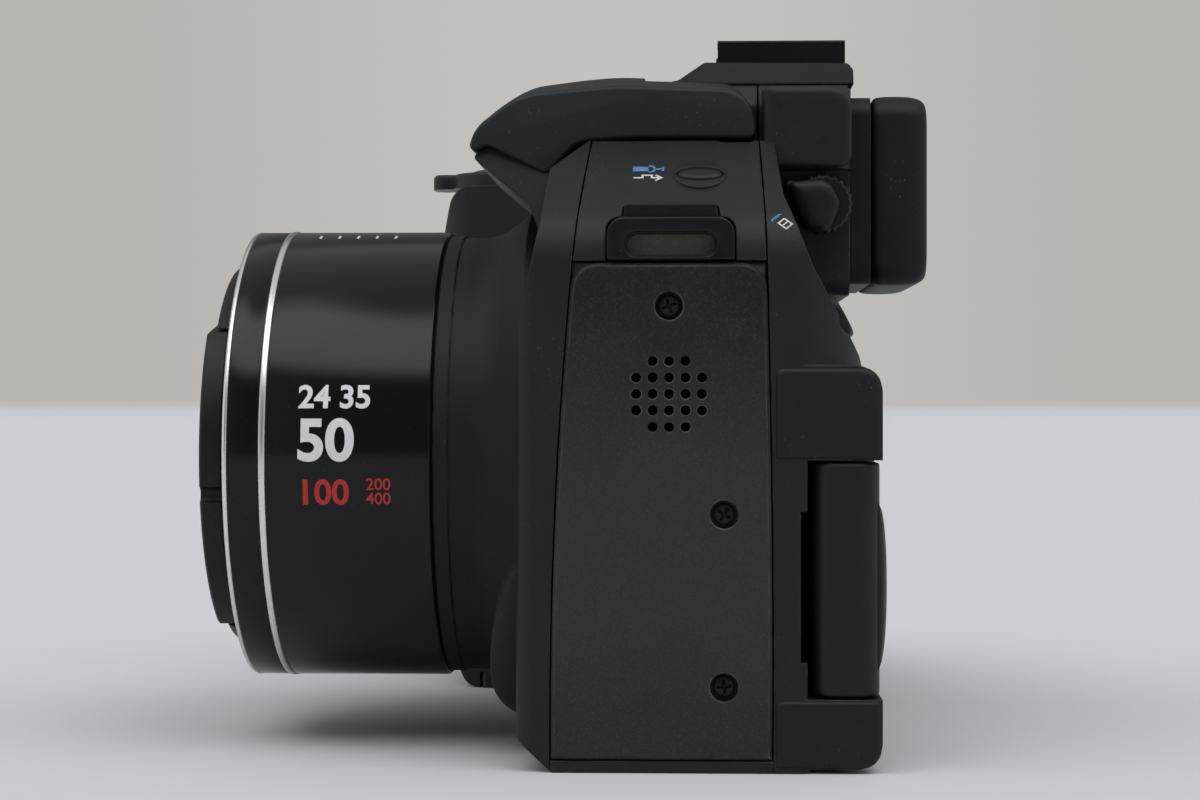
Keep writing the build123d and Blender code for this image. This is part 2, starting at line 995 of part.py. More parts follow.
def window_frame():
    """The flash window's frame on the slanted underside of the head."""
    front = flash_chin_shares[3]
    back = flash_chin_shares[2]
    front_y, front_z = front[0] * flash_depth, front[1] * flash_height
    back_y, back_z = back[0] * flash_depth, back[1] * flash_height
    run = math.hypot(back_y - front_y, back_z - front_z)
    down = ((back_z - front_z) / run, (front_y - back_y) / run)
    middle = ((front_y + back_y) / 2, (front_z + back_z) / 2)
    return Plane(origin=(0, middle[0], middle[1]), x_dir=(1, 0, 0), z_dir=(0, down[0], down[1]))


def flash_window():
    """The clear window of the flash."""
    shape = Rectangle(window_width - seat_gap, window_length - seat_gap)
    return drawn(window_frame(), shape, -window_thickness, 0)


def hinge_bar(radius, reach):
    """A bar on the flash's hinge axis, out to a reach on both sides."""
    frame = Plane(origin=(0, pivot_y, pivot_height), x_dir=(0, 1, 0), z_dir=(1, 0, 0))
    return rod(frame, radius, -reach, reach)


def heel_groove():
    """The groove in the saddle that the heels of the two arms turn through."""
    inset = arm_heel + arm_lift
    drop = pivot_rise - inset
    run = arm_back - arm_heel - pivot_y
    reach = math.hypot(run, drop) + arm_heel + loose_gap
    outer = flash_width + loose_gap
    groove = hinge_bar(reach, outer) - hinge_bar(reach + overrun, core_width)
    return groove & block(
        (-outer, outer), (pivot_y - overrun, lobe_front), (lobe_bottom, saddle_height + overrun)
    )


def flash_hinge_pins():
    """The two steel pins in the hump that carry the flash arms."""
    inner = core_width - hinge_reach
    outer = flash_width - hinge_radius - pin_gap
    bar = hinge_bar(hinge_radius, outer)
    return bar - block(
        (-inner, inner), (pivot_y - overrun, pivot_y + overrun), (lobe_bottom, flash_height)
    )


# Accessory shoe

plate_top = hump_height + seat_gap + plate_rise
plate_shares = [
    (-0.209, 0, 0), (-0.07, 0.2, 0.25), (0.094, 1, 0.25), (0.97, 0.93, 0.15),
    (1, 0.63, 0.1), (1, 0, 0),
]


def shoe_plate():
    """The plate on the hump that carries the accessory shoe."""
    low = hump_height + seat_gap
    rows = [(y, low + z, r) for y, z, r in scaled(plate_shares, plate_back, plate_rise, body_round)]
    front = mirrored([
        (plate_width, low, 0),
        (plate_width - plate_rise / 2, plate_top, body_round * 0.2),
    ])
    plate = across(outline(rows), -plate_width, plate_width)
    plate = plate & along(front, -hump_front - overrun, plate_back + overrun)
    return plate - shoe_seat()


shoe_floor = plate_top - plate_rise * 0.07


def shoe_seat():
    """The flat seat of the shoe in its plate."""
    half = shoe_slot + shoe_sheet + seat_gap
    front = shoe_front - seat_gap
    return block(
        (-half, half), (front, front + shoe_length + overrun), (shoe_floor, shoe_floor + overrun)
    )


def hot_shoe():
    """The bent metal channel that takes an accessory's foot."""
    top = shoe_floor + shoe_sheet + shoe_room + shoe_sheet
    outer = shoe_slot + shoe_sheet
    rows = [
        (shoe_mouth, top, 0), (shoe_mouth, top - shoe_sheet, 0),
        (shoe_slot, top - shoe_sheet, 0), (shoe_slot, shoe_floor + shoe_sheet, 0),
    ]
    lower = [(-x, z, r) for x, z, r in reversed(rows)]
    around = [
        (-outer, top, shoe_sheet / 2), (-outer, shoe_floor, 0),
        (outer, shoe_floor, 0), (outer, top, shoe_sheet / 2),
    ]
    channel = along(outline(rows + lower + around), shoe_front, shoe_front + shoe_length)
    wells = [rod(place, contact_radius + seat_gap, -shoe_sheet - seat_gap, shoe_sheet)
             for place in contact_frames()]
    return without(channel, wells)


contact_shares = [(0, 0.45), (-0.35, 0.72), (0.35, 0.72), (-0.35, 0.25), (0.35, 0.25)]


def contact_frames():
    """The places of the shoe's contacts, on its floor."""
    return [
        up_frame(shoe_slot * x, shoe_front + shoe_length * y, shoe_floor + shoe_sheet)
        for x, y in contact_shares
    ]


def hot_shoe_contacts():
    """The shoe's five contacts."""
    return group([
        rod(frame, contact_radius, -shoe_sheet, contact_rise) for frame in contact_frames()
    ])


# Viewfinder

def rounded_window(width, height, radius):
    """A rounded X-Z outline round the viewfinder's axis."""
    return mirrored([
        (width, finder_height - height, radius), (width, finder_height + height, radius),
    ])


def eyepiece_frame():
    """The frame that holds the eyepiece window."""
    back = finder_face + frame_thickness
    frame = along(rounded_window(frame_width, frame_half_height, frame_round), finder_face, back)
    hole = rounded_window(finder_window_width, finder_window_height, frame_round / 2)
    return frame - along(hole, finder_face - overrun, back + overrun)


def eyepiece_lens():
    """The clear eyepiece window."""
    gap = seat_gap
    hole = rounded_window(
        finder_window_width - gap, finder_window_height - gap, frame_round / 2 - gap
    )
    back = finder_face + frame_thickness - seat_gap
    return along(hole, back - finder_glass, back)


def eyecup():
    """The rubber cup round the eyepiece, wider at its mouth."""
    front = finder_face + frame_thickness
    cup = along(rounded_window(cup_width, cup_half_height, frame_round), front, front + cup_depth)
    cup = fillet(end_edges(cup, Axis.Y), frame_round / 2)
    mouth = rounded_window(cup_mouth_width, cup_mouth_height, frame_round)
    hollow = extrude(
        Plane.XZ.offset(-front - cup_depth) * mouth, cup_depth + seat_gap, taper=cup_taper
    )
    return cup - hollow


def fluted(solid, frame, radius, count, depth, start, end):
    """A round knob with flutes cut along its rim."""
    flutes = Sketch()
    for step in range(count):
        turn = math.radians(step * 360 / count)
        flutes = flutes + Pos(radius * math.cos(turn), radius * math.sin(turn)) * Circle(depth)
    return solid - drawn(frame, flutes, start, end)


def dioptre_frame():
    """The axis of the focus dial beside the eyepiece."""
    origin = (finder_width, dioptre_y, dioptre_height)
    return Plane(origin=origin, x_dir=(0, 1, 0), z_dir=(1, 0, 0))


def dioptre_dial():
    """The fluted wheel that focuses the eyepiece, with a domed hub."""
    frame = dioptre_frame()
    end = loose_gap + dioptre_width
    knob = rod(frame, dioptre_radius, loose_gap, end)
    knob = chamfer(end_edges(knob, Axis.X), flute_radius / 2)
    depth = flute_radius / 2 + seat_gap
    rim = dioptre_radius + flute_radius / 2
    knob = fluted(knob, frame, rim, dioptre_flutes, depth, loose_gap, end)
    hub = rod(frame, dioptre_hub, end, end + button_edge + seat_gap)
    hub = fillet(end_edges(hub, Axis.X), button_edge)
    return knob + hub + rod(frame, dioptre_hub / 2, -shaft_length, loose_gap)


# Swing-out screen

def hinge_ears():
    """The two ears of the rear shell that hold the hinge bar."""
    low = swing_x + swing_inset - ear_width
    ears = []
    for z, corner in (
        ((lower_ear_bottom, bar_bottom - loose_gap), 0),
        ((bar_top + loose_gap, upper_ear_top), 1),
    ):
        rows = [
            (ear_front, z[0], 0), (ear_back, z[0], ear_round * (1 - corner)),
            (ear_back, z[1], ear_round * corner), (ear_front, z[1], 0),
        ]
        ears.append(across(outline(rows), low, left_width - seat_gap))
    return ears[0] + ears[1]


def hinge_bores():
    """The bores in the ears for the hinge bar's pins."""
    axis = up_frame(swing_x, swing_y, 0)
    reach = hinge_pin_length + seat_gap
    return rod(axis, hinge_pin + pin_gap, bar_bottom - loose_gap - reach, bar_top + loose_gap + reach)


def lcd_hinge_bar():
    """The upright bar that swings out and carries the screen's tilt shaft."""
    plan = outline([
        (swing_x - bar_reach, swing_y - screen_half, bar_round),
        (swing_x + screen_half, swing_y - screen_half, bar_round),
        (swing_x + screen_half, swing_y + screen_half, bar_round),
        (swing_x - bar_reach, swing_y + screen_half, bar_round),
    ])
    bar = upward(plan, bar_bottom, bar_top)
    face = swing_y + screen_half
    middle = (bulge_bottom + bulge_top) / 2
    arc = ThreePointArc((face, bulge_bottom), (face + bar_bulge, middle), (face, bulge_top))
    root = Polyline(arc @ 1, (swing_y, bulge_top), (swing_y, bulge_bottom), arc @ 0)
    bulge = across(make_face([arc, root]), swing_x - bulge_far, swing_x + bulge_near)
    axis = up_frame(swing_x, swing_y, 0)
    pins = rod(axis, hinge_pin, bar_bottom - loose_gap - hinge_pin_length,
               bar_top + loose_gap + hinge_pin_length)
    return bar + bulge + pins + tilt_shaft(tilt_radius, tilt_reach)


def tilt_shaft(radius, reach):
    """The level shaft on which the screen tilts."""
    frame = Plane(origin=(swing_x, swing_y, tilt_height), x_dir=(0, 1, 0), z_dir=(-1, 0, 0))
    return rod(frame, radius, bar_reach - loose_gap, screen_near + reach)


def screen_outline(edge):
    """The screen's X-Z outline, smaller by an edge all round."""
    near = swing_x - screen_near - edge
    far = swing_x - screen_near - screen_width + edge
    rounding = screen_round
    return outline([
        (near, screen_bottom + edge, rounding), (near, screen_top - edge, rounding),
        (far, screen_top - edge, rounding), (far, screen_bottom + edge, rounding),
    ])


def lcd_back_cover():
    """The plain cover on the screen's back, which shows when it is closed."""
    back = swing_y + screen_half
    cover = along(screen_outline(0), swing_y + pin_gap, back)
    cover = fillet(end_edges(cover, Axis.Y), screen_edge)
    return cover - tilt_shaft(tilt_radius + pin_gap, tilt_reach + seat_gap)


def display_outline(gap):
    """The display window's X-Z outline."""
    middle = swing_x - screen_near - screen_width / 2 - display_shift / 2
    height = (screen_bottom + screen_top) / 2
    half = display_width / 2 - gap
    rise = display_height / 2 - gap
    return outline([
        (middle + half, height - rise, seat_gap), (middle + half, height + rise, seat_gap),
        (middle - half, height + rise, seat_gap), (middle - half, height - rise, seat_gap),
    ])


def lcd_frame():
    """The screen's front half, with a window for the display."""
    front = swing_y - screen_half
    frame = along(screen_outline(0), front, swing_y - pin_gap)
    face = Axis(origin=(0, 0, 0), direction=(0, -1, 0))
    frame = fillet(end_edges(frame, face), screen_edge)
    window = along(display_outline(0), front - overrun, front + display_glass + pin_gap)
    return frame - window - tilt_shaft(tilt_radius + pin_gap, tilt_reach + seat_gap)


def lcd_glass():
    """The display's clear cover."""
    front = swing_y - screen_half + pin_gap
    return along(display_outline(pin_gap), front, front + display_glass)


# Buttons, dials and levers

def shoulder_frame(x, y):
    """A frame on the sloping left shoulder."""
    run = left_width - shoulder_run - saddle_width
    slope = shoulder_drop / run
    height = saddle_height - (x - saddle_width) * slope
    length = math.hypot(run, shoulder_drop)
    outward = (shoulder_drop / length, 0, run / length)
    return Plane(origin=(x, y, height), x_dir=(0, 1, 0), z_dir=outward)


def slope_frame(x):
    """A frame at the middle of the rear face's slope."""
    top_y, top_z = slope_top_share[0] * back_depth, slope_top_share[1] * saddle_height
    foot_y, foot_z = slope_foot_share[0] * back_depth, slope_foot_share[1] * saddle_height
    length = math.hypot(foot_y - top_y, top_z - foot_z)
    outward = (0, (top_z - foot_z) / length, (foot_y - top_y) / length)
    middle = ((top_y + foot_y) / 2, (top_z + foot_z) / 2)
    return Plane(origin=(x, middle[0], middle[1]), x_dir=(-1, 0, 0), z_dir=outward)


button_sizes = {
    "power_button": (up_frame(power_x, dial_y, deck_height), power_radius, power_rise),
    "shoulder_button": (
        shoulder_frame(shoulder_button_x, shoulder_button_y),
        shoulder_button_radius, shoulder_button_rise,
    ),
    "shortcut_button": (slope_frame(shortcut_x), slope_button_radius, slope_button_rise),
    "movie_button": (slope_frame(movie_x), slope_button_radius, slope_button_rise),
    "exposure_lock_button": (slope_frame(lock_x), slope_button_radius, slope_button_rise),
    "focus_frame_button": (slope_frame(focus_x), slope_button_radius, slope_button_rise),
    "set_button": (back_frame(wheel_x, wheel_z), set_radius, set_rise),
    "menu_button": (back_frame(wheel_x + menu_spread, menu_z), menu_radius, menu_rise),
    "display_button": (back_frame(wheel_x - menu_spread, menu_z), menu_radius, menu_rise),
}


def push_button(frame, radius, rise):
    """A round button with a softened top edge."""
    button = rod(frame, radius, -button_depth, rise)
    rim = button.edges().filter_by(GeomType.CIRCLE).sort_by(
        Axis(origin=frame.origin, direction=frame.z_dir)
    )[-1]
    return fillet([rim], button_edge)


def button_pocket(frame, radius):
    """The hole that a round button travels in."""
    return rod(frame, radius + loose_gap, -button_depth - button_travel - loose_gap, overrun)


def shutter_frame():
    """The shutter release's axis on top of the grip."""
    return up_frame(shutter_x, shutter_y, grip_height)


def shutter_button():
    """The large dished shutter release."""
    frame = shutter_frame()
    button = rod(frame, shutter_radius, -button_depth, shutter_rise)
    return fillet(end_edges(button, Axis.Z), shutter_dome)


def zoom_lever():
    """The ring lever round the shutter release, with its finger tab."""
    frame = shutter_frame()
    inner = shutter_radius + loose_gap
    outer = inner + lever_wall
    lever = rod(frame, outer, loose_gap, lever_rise)
    tab = block(
        (shutter_x - lever_tab, shutter_x + lever_tab),
        (shutter_y - lever_reach, shutter_y),
        (grip_height + loose_gap, grip_height + lever_rise),
    )
    front = Axis(origin=(0, 0, 0), direction=(0, -1, 0))
    corners = tab.edges().filter_by(Axis.Z).sort_by(front)[-2:]
    tab = fillet(corners, lever_tab * 0.6)
    lever = lever + tab
    lever = chamfer(end_edges(lever, Axis.Z), button_edge)
    return lever - rod(frame, inner, -overrun, lever_rise + overrun)


def dial_frame():
    """The mode dial's axis on the deck."""
    return up_frame(dial_x, dial_y, deck_height)


def mode_dial():
    """The fluted mode dial on its shaft."""
    frame = dial_frame()
    dial = rod(frame, dial_radius, loose_gap, dial_rise)
    dial = chamfer(end_edges(dial, Axis.Z), flute_radius)
    dial = fluted(dial, frame, dial_radius + flute_radius / 2, dial_flutes, flute_radius,
                  loose_gap, dial_rise)
    return dial + rod(frame, dial_shaft, -shaft_length, loose_gap)


def control_wheel():
    """The turning ring on the back, round the set button."""
    frame = back_frame(wheel_x, wheel_z)
    start = loose_gap - wheel_sunk
    wheel = ring(frame, wheel_radius, set_radius + loose_gap, start, wheel_rise)
    return chamfer(end_edges(wheel, Axis.Y), button_edge)


def release_shape(gap):
    """The ring release button's curved outline beside the collar."""
    points = []
    for angle, radius in (
        (-release_start, release_inner - gap), (-release_start, release_outer + gap),
        (-release_end, release_outer + gap), (-release_end, release_inner - gap),
    ):
        turn = math.radians(angle)
        points.append((radius * math.cos(turn), radius * math.sin(turn)))
    middle = math.radians(-(release_start + release_end) / 2)
    bow = [
        (radius * math.cos(middle), radius * math.sin(middle))
        for radius in (release_outer + gap, release_inner - gap)
    ]
    shape = make_face([
        Line(points[0], points[1]), ThreePointArc(points[1], bow[0], points[2]),
        Line(points[2], points[3]), ThreePointArc(points[3], bow[1], points[0]),
    ])
    return fillet(shape.vertices(), release_edge)


def ring_release_button():
    """The curved button that frees the ring round the lens."""
    start = front_depth - button_depth
    button = drawn(lens_frame, release_shape(0), start, release_front)
    front = Axis(origin=(0, 0, 0), direction=(0, -1, 0))
    return chamfer(end_edges(button, front), release_edge / 2)


def release_pocket():
    """The pocket of the ring release button."""
    start = front_depth - button_depth - button_travel - loose_gap
    return drawn(lens_frame, release_shape(loose_gap), start, start + overrun * 2)


def lamp_frame():
    """The focus lamp's axis in the front shell."""
    return Plane(origin=(lamp_x, -lamp_y, lamp_z), x_dir=(1, 0, 0), z_dir=(0, -1, 0))


def focus_lamp_window():
    """The small clear window of the focus lamp."""
    return rod(lamp_frame(), lamp_radius, -lamp_depth, -lamp_sunk)


# Battery chamber, card slot and terminals

cell_places = [
    (cell_x + cell_pitch * x, cell_y + cell_pitch * y) for x in (-0.5, 0.5) for y in (-0.5, 0.5)
]
cell_bottom = door_thickness + cell_gap + cell_tip


def battery_cells():
    """Four round cells, standing two by two."""
    cells = []
    for x, y in cell_places:
        frame = up_frame(x, y, cell_bottom)
        cell = rod(frame, cell_radius, 0, cell_length - cell_tip)
        cells.append(cell + rod(frame, cell_tip_radius, 0, cell_length))
    return group(cells)


def cell_chamber():
    """The chamber in the grip for the cells, open at the bottom."""
    half = cell_pitch / 2 + cell_radius + cell_gap
    plan = outline([
        (cell_x - half, cell_y - half, cell_radius), (cell_x + half, cell_y - half, cell_radius),
        (cell_x + half, cell_y + half, cell_radius), (cell_x - half, cell_y + half, cell_radius),
    ])
    return upward(plan, -overrun, cell_bottom + cell_length + cell_gap)


door_half = cell_pitch / 2 + cell_radius + cell_gap + door_margin
door_axis_x = cell_x + door_half


def door_barrel(radius, length):
    """The battery door's round hinge edge or its pin."""
    frame = Plane(
        origin=(door_axis_x, cell_y, door_thickness / 2), x_dir=(1, 0, 0), z_dir=(0, 1, 0)
    )
    return rod(frame, radius, -length, length)


def battery_door():
    """The door under the cells, which swings down on two stub pins."""
    leaf = block(
        (cell_x - door_half, door_axis_x), (cell_y - door_half, cell_y + door_half),
        (0, door_thickness),
    )
    leaf = leaf + door_barrel(door_thickness / 2, door_half)
    return leaf + door_barrel(door_pin, door_half + door_pin_length)


def door_opening():
    """The opening in the base for the battery door and its pins."""
    half = door_half + loose_gap
    room = block(
        (cell_x - half, door_axis_x + door_thickness / 2 + loose_gap),
        (cell_y - half, cell_y + half), (-overrun, door_thickness + cell_gap),
    )
    return room + door_barrel(door_pin + pin_gap, door_half + door_pin_length + seat_gap)


def card_room(gap):
    """The memory card's space, which opens on the right side."""
    outer = -right_width + card_sunk
    return block(
        (outer - gap, outer + card_width + gap),
        (card_y - card_thickness / 2 - gap, card_y + card_thickness / 2 + gap),
        (card_middle - card_height / 2 - gap, card_middle + card_height / 2 + gap),
    )


def memory_card():
    """The memory card in its slot."""
    return card_room(0)


def flap_axis(bottom, radius, length):
    """The round lower edge of a side flap, or its pin."""
    frame = Plane(
        origin=(flap_thickness / 2 - right_width, card_y, bottom + flap_thickness / 2),
        x_dir=(1, 0, 0), z_dir=(0, 1, 0),
    )
    return rod(frame, radius, -length, length)


def side_flap(bottom, width, height):
    """A flap on the right side that swings down on its lower edge."""
    leaf = block(
        (-right_width, flap_thickness - right_width), (card_y - width / 2, card_y + width / 2),
        (bottom + flap_thickness / 2, bottom + height),
    )
    leaf = leaf + flap_axis(bottom, flap_thickness / 2, width / 2)
    return leaf + flap_axis(bottom, flap_thickness / 4, width / 2 + door_pin_length / 2)


def flap_opening(bottom, width, height):
    """The opening for a side flap and its pins."""
    gap = loose_gap
    room = block(
        (-right_width - overrun, flap_thickness - right_width + gap),
        (card_y - width / 2 - gap, card_y + width / 2 + gap), (bottom - gap, bottom + height + gap),
    )
    reach = width / 2 + door_pin_length / 2 + seat_gap
    return room + flap_axis(bottom, flap_thickness / 4 + pin_gap, reach)


card_door_bottom = card_middle - card_door_height / 2
terminal_bottom = terminal_middle - terminal_height / 2


def card_door():
    """The card door on the right side."""
    return side_flap(card_door_bottom, card_door_width, card_door_height)


def terminal_cover():
    """The soft cover over the terminals."""
    return side_flap(terminal_bottom, terminal_width * 0.6, terminal_height)


def socket_blocks(gap):
    """The two socket shells' outer forms."""
    outer = -right_width + flap_thickness + loose_gap
    return [
        block(
            (outer - gap, outer + socket_depth + gap),
            (card_y + side * socket_spread / 2 - socket_height / 2 - gap,
             card_y + side * socket_spread / 2 + socket_height / 2 + gap),
            (terminal_middle - socket_width / 2 - gap, terminal_middle + socket_width / 2 + gap),
        )
        for side in (-1, 1)
    ]


def terminal_sockets():
    """Two metal sockets behind the soft cover."""
    outer = -right_width + flap_thickness + loose_gap
    sockets = []
    for shell, side in zip(socket_blocks(0), (-1, 1)):
        middle = card_y + side * socket_spread / 2
        room = block(
            (outer, outer + socket_depth - socket_wall),
            (middle - socket_height / 2 + socket_wall, middle + socket_height / 2 - socket_wall),
            (terminal_middle - socket_width / 2 + socket_wall,
             terminal_middle + socket_width / 2 - socket_wall),
        )
        sockets.append(shell - room)
    return group(sockets)


# Base

base_screw_shares = [(0.62, -0.45), (0.62, 0.25), (-0.42, -0.45), (-0.42, 0.25)]


def base_screw_frames():
    """The places of the base plate's screws."""
    frames = []
    for x, y in base_screw_shares:
        frames.append(up_frame(left_width * x * 1.25, front_depth * y, 0))
    return frames


def bottom_screws():
    """Four screws that hold the base plate."""
    screws = []
    for frame in base_screw_frames():
        head = rod(frame, base_screw_radius, screw_sunk, wall / 2 + screw_sunk)
        screws.append(head + rod(frame, screw_shank, screw_sunk, base_screw_length))
    return group(screws)


def tripod_socket():
    """The threaded metal insert in the base."""
    frame = up_frame(0, 0, 0)
    insert = rod(frame, tripod_insert, 0, tripod_depth + tripod_wall)
    return insert - rod(frame, tripod_radius, -overrun, tripod_depth)


# Shells and chassis

def control_pockets():
    """Every hole that a control sits in."""
    pockets = [button_pocket(frame, radius) for frame, radius, rise in button_sizes.values()]
    wheel = back_frame(wheel_x, wheel_z)
    pockets.append(rod(wheel, wheel_radius + loose_gap, -wheel_sunk, overrun))
    pockets.append(button_pocket(shutter_frame(), shutter_radius))
    reach = shaft_length + seat_gap
    pockets.append(rod(dial_frame(), dial_shaft + pin_gap, -reach, overrun))
    pockets.append(rod(dioptre_frame(), dioptre_hub / 2 + pin_gap, -reach, overrun))
    pockets.append(release_pocket())
    pockets.append(rod(lamp_frame(), lamp_radius + seat_gap, -lamp_depth, overrun))
    return pockets


def shared_cuts():
    """The cuts that go through both the shells and the chassis."""
    seat = rod(lens_frame, collar_radius + seat_gap, collar_back, collar_front)
    bore = rod(lens_frame, lens_bore, lens_chamber, collar_front)
    insert = rod(up_frame(0, 0, 0), tripod_insert + seat_gap, -overrun,
                 tripod_depth + tripod_wall + seat_gap)
    screws = [rod(frame, base_screw_radius + seat_gap, -overrun, wall / 2 + screw_sunk)
              for frame in base_screw_frames()]
    screws += [rod(frame, screw_shank + pin_gap, -overrun, base_screw_length + seat_gap)
               for frame in base_screw_frames()]
    doors = [
        door_opening(),
        flap_opening(card_door_bottom, card_door_width, card_door_height),
        flap_opening(terminal_bottom, terminal_width * 0.6, terminal_height),
    ]
    pins = hinge_bar(hinge_radius + pin_gap, core_width + overrun)
    pins = pins - hinge_bar(hinge_radius + pin_gap * 2, core_width - hinge_reach)
    rest = [seat, bore, insert, pins, hinge_bores(), cell_chamber(), card_room(cell_gap)]
    rest = rest + [heel_groove()] + screws + doors + lug_seats()
    return rest + control_pockets() + socket_blocks(seat_gap)


def chassis(cuts):
    """The solid core that carries every shell and mechanism."""
    core = body_form(wall + seat_gap)
    rise = sensor_height / 2
    sensor = block(
        (-sensor_width / 2, sensor_width / 2),
        (-lens_chamber - overrun, sensor_thickness - lens_chamber),
        (lens_height - rise, lens_height + rise),
    )
    back = left_width - wall - speaker_depth - seat_gap
    frame = Plane(origin=(back, speaker_y, speaker_z), x_dir=(0, 1, 0), z_dir=(1, 0, 0))
    room = rod(frame, speaker_radius + seat_gap, 0, overrun)
    screws = [rod(place, screw_shank + pin_gap, -screw_length - seat_gap, 0)
              for place in panel_screws()]
    return without(core, cuts + [sensor, room] + screws)


def grip_skin_form(gap):
    """The rubber skin's room on the front of the grip."""
    region = block(
        (-right_width - overrun, -skin_start - gap),
        (-grip_depth - overrun, -skin_edge - gap),
        (skin_bottom + gap, skin_top - gap),
    )
    return (grip_block(0) - grip_block(skin_thickness)) & region


def grip_skin():
    """The rubber skin on the front of the grip."""
    return grip_skin_form(seam_gap / 2)


def build_shells():
    """The front, rear, top, bottom and right shells from one hollow form."""
    cuts = shared_cuts()
    hollow = body_form(0) + brow_block() + hinge_ears() - body_form(wall)
    hollow = without(hollow, cuts)
    everywhere = (-right_width - overrun, left_width + overrun)
    plate = across(panel_outline(0), left_width - wall, left_width + overrun)
    base = bottom_region()
    shells = {}
    shells["front_shell"] = (hollow & front_region()) - base - grip_skin_form(0)
    shells["rear_shell"] = hollow & back_region()
    roof = middle_region(everywhere, (side_seam + seam_gap / 2, flash_height))
    shells["top_cover"] = hollow & roof
    shells["bottom_cover"] = (hollow & base) - plate
    flank = middle_region((-right_width - overrun, cell_x), (bottom_seam + seam_gap, side_seam))
    shells["right_side_cover"] = hollow & flank
    shells["chassis"] = chassis(cuts)
    return shells


nodes = build_shells()
for name, (frame, radius, rise) in button_sizes.items():
    nodes[name] = push_button(frame, radius, rise)
for maker in (
    side_panel, side_panel_screws, speaker, strap_lug_left, strap_lug_right, grip_skin,
    lens_collar, lens_sleeve, trim_rings, zoom_tube_outer, zoom_tube_inner,
    front_bezel, front_lens, image_sensor, lens_cap, flash_head, flash_window,
    flash_hinge_pins, shoe_plate, hot_shoe, hot_shoe_contacts, eyepiece_frame,
    eyepiece_lens, eyecup, dioptre_dial, lcd_hinge_bar, lcd_back_cover, lcd_frame,
    lcd_glass, shutter_button, zoom_lever, mode_dial, control_wheel, ring_release_button,
    focus_lamp_window, battery_cells, battery_door, memory_card, card_door,
    terminal_cover, terminal_sockets, bottom_screws, tripod_socket,
):
    nodes[maker.__name__] = maker()
nodes["cap_tab_left"] = cap_tab(1)
nodes["cap_tab_right"] = cap_tab(-1)

for name, shape in nodes.items():
    export_step(shape, "parts/" + name + ".step")
print(len(nodes), "nodes")
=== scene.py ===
import math

import bmesh
import bpy
from mathutils import Matrix, Vector
from mathutils.bvhtree import BVHTree


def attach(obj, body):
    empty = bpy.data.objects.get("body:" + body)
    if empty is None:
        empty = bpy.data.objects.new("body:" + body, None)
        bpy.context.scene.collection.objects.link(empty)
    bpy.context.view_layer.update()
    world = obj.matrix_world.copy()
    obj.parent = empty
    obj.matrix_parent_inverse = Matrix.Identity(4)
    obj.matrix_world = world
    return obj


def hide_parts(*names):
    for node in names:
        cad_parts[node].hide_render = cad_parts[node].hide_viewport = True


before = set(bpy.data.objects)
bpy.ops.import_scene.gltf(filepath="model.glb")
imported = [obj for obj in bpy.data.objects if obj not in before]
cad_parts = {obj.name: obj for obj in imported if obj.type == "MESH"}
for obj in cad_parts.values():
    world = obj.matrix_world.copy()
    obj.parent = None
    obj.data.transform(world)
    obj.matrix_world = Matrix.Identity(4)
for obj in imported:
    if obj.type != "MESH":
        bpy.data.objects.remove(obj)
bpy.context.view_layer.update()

# Body shells: five moulded parts of black plastic with a fine spark-eroded grain.
# They are screwed to a cast chassis and meet at two thin seams round the body.
# Years of use have left a little pale dust and thin, lighter lines on the edges.
millimetre = 0.001


class Signal:
    """One output of a shader node, on which the usual operators add Math nodes."""

    def __init__(self, graph, socket):
        self.graph = graph
        self.socket = socket

    def worked(self, operation, left, right):
        return self.graph.node("ShaderNodeMath", {0: left, 1: right}, operation=operation)

    def __add__(self, other):
        return self.worked("ADD", self, other)

    def __radd__(self, other):
        return self.worked("ADD", other, self)

    def __sub__(self, other):
        return self.worked("SUBTRACT", self, other)

    def __rsub__(self, other):
        return self.worked("SUBTRACT", other, self)

    def __mul__(self, other):
        return self.worked("MULTIPLY", self, other)

    def __rmul__(self, other):
        return self.worked("MULTIPLY", other, self)


class Graph:
    """The shader nodes of a material or of the world."""

    def __init__(self, owner):
        owner.use_nodes = True
        self.tree = owner.node_tree

    def node(self, kind, values=None, output=0, **settings):
        """Any shader node, with its settings and then its socket values or links."""
        made = self.tree.nodes.new(kind)
        for setting, value in settings.items():
            setattr(made, setting, value)
        for socket, value in (values or {}).items():
            self.feed(made.inputs[socket], value)
        return Signal(self, made.outputs[output] if made.outputs else None)

    def feed(self, socket, value):
        """Links a signal to a socket, or sets the socket's own value."""
        if isinstance(value, Signal):
            self.tree.links.new(value.socket, socket)
        else:
            socket.default_value = value

    def rise(self, value, low, high):
        """A soft step from 0 at low to 1 at high."""
        values = {"Value": value, "From Min": low, "From Max": high}
        return self.node("ShaderNodeMapRange", values, interpolation_type="SMOOTHSTEP")

    def mixed(self, factor, first, second):
        """A colour between two others."""
        values = {0: factor, 6: first, 7: second}
        return self.node("ShaderNodeMix", values, 2, data_type="RGBA")


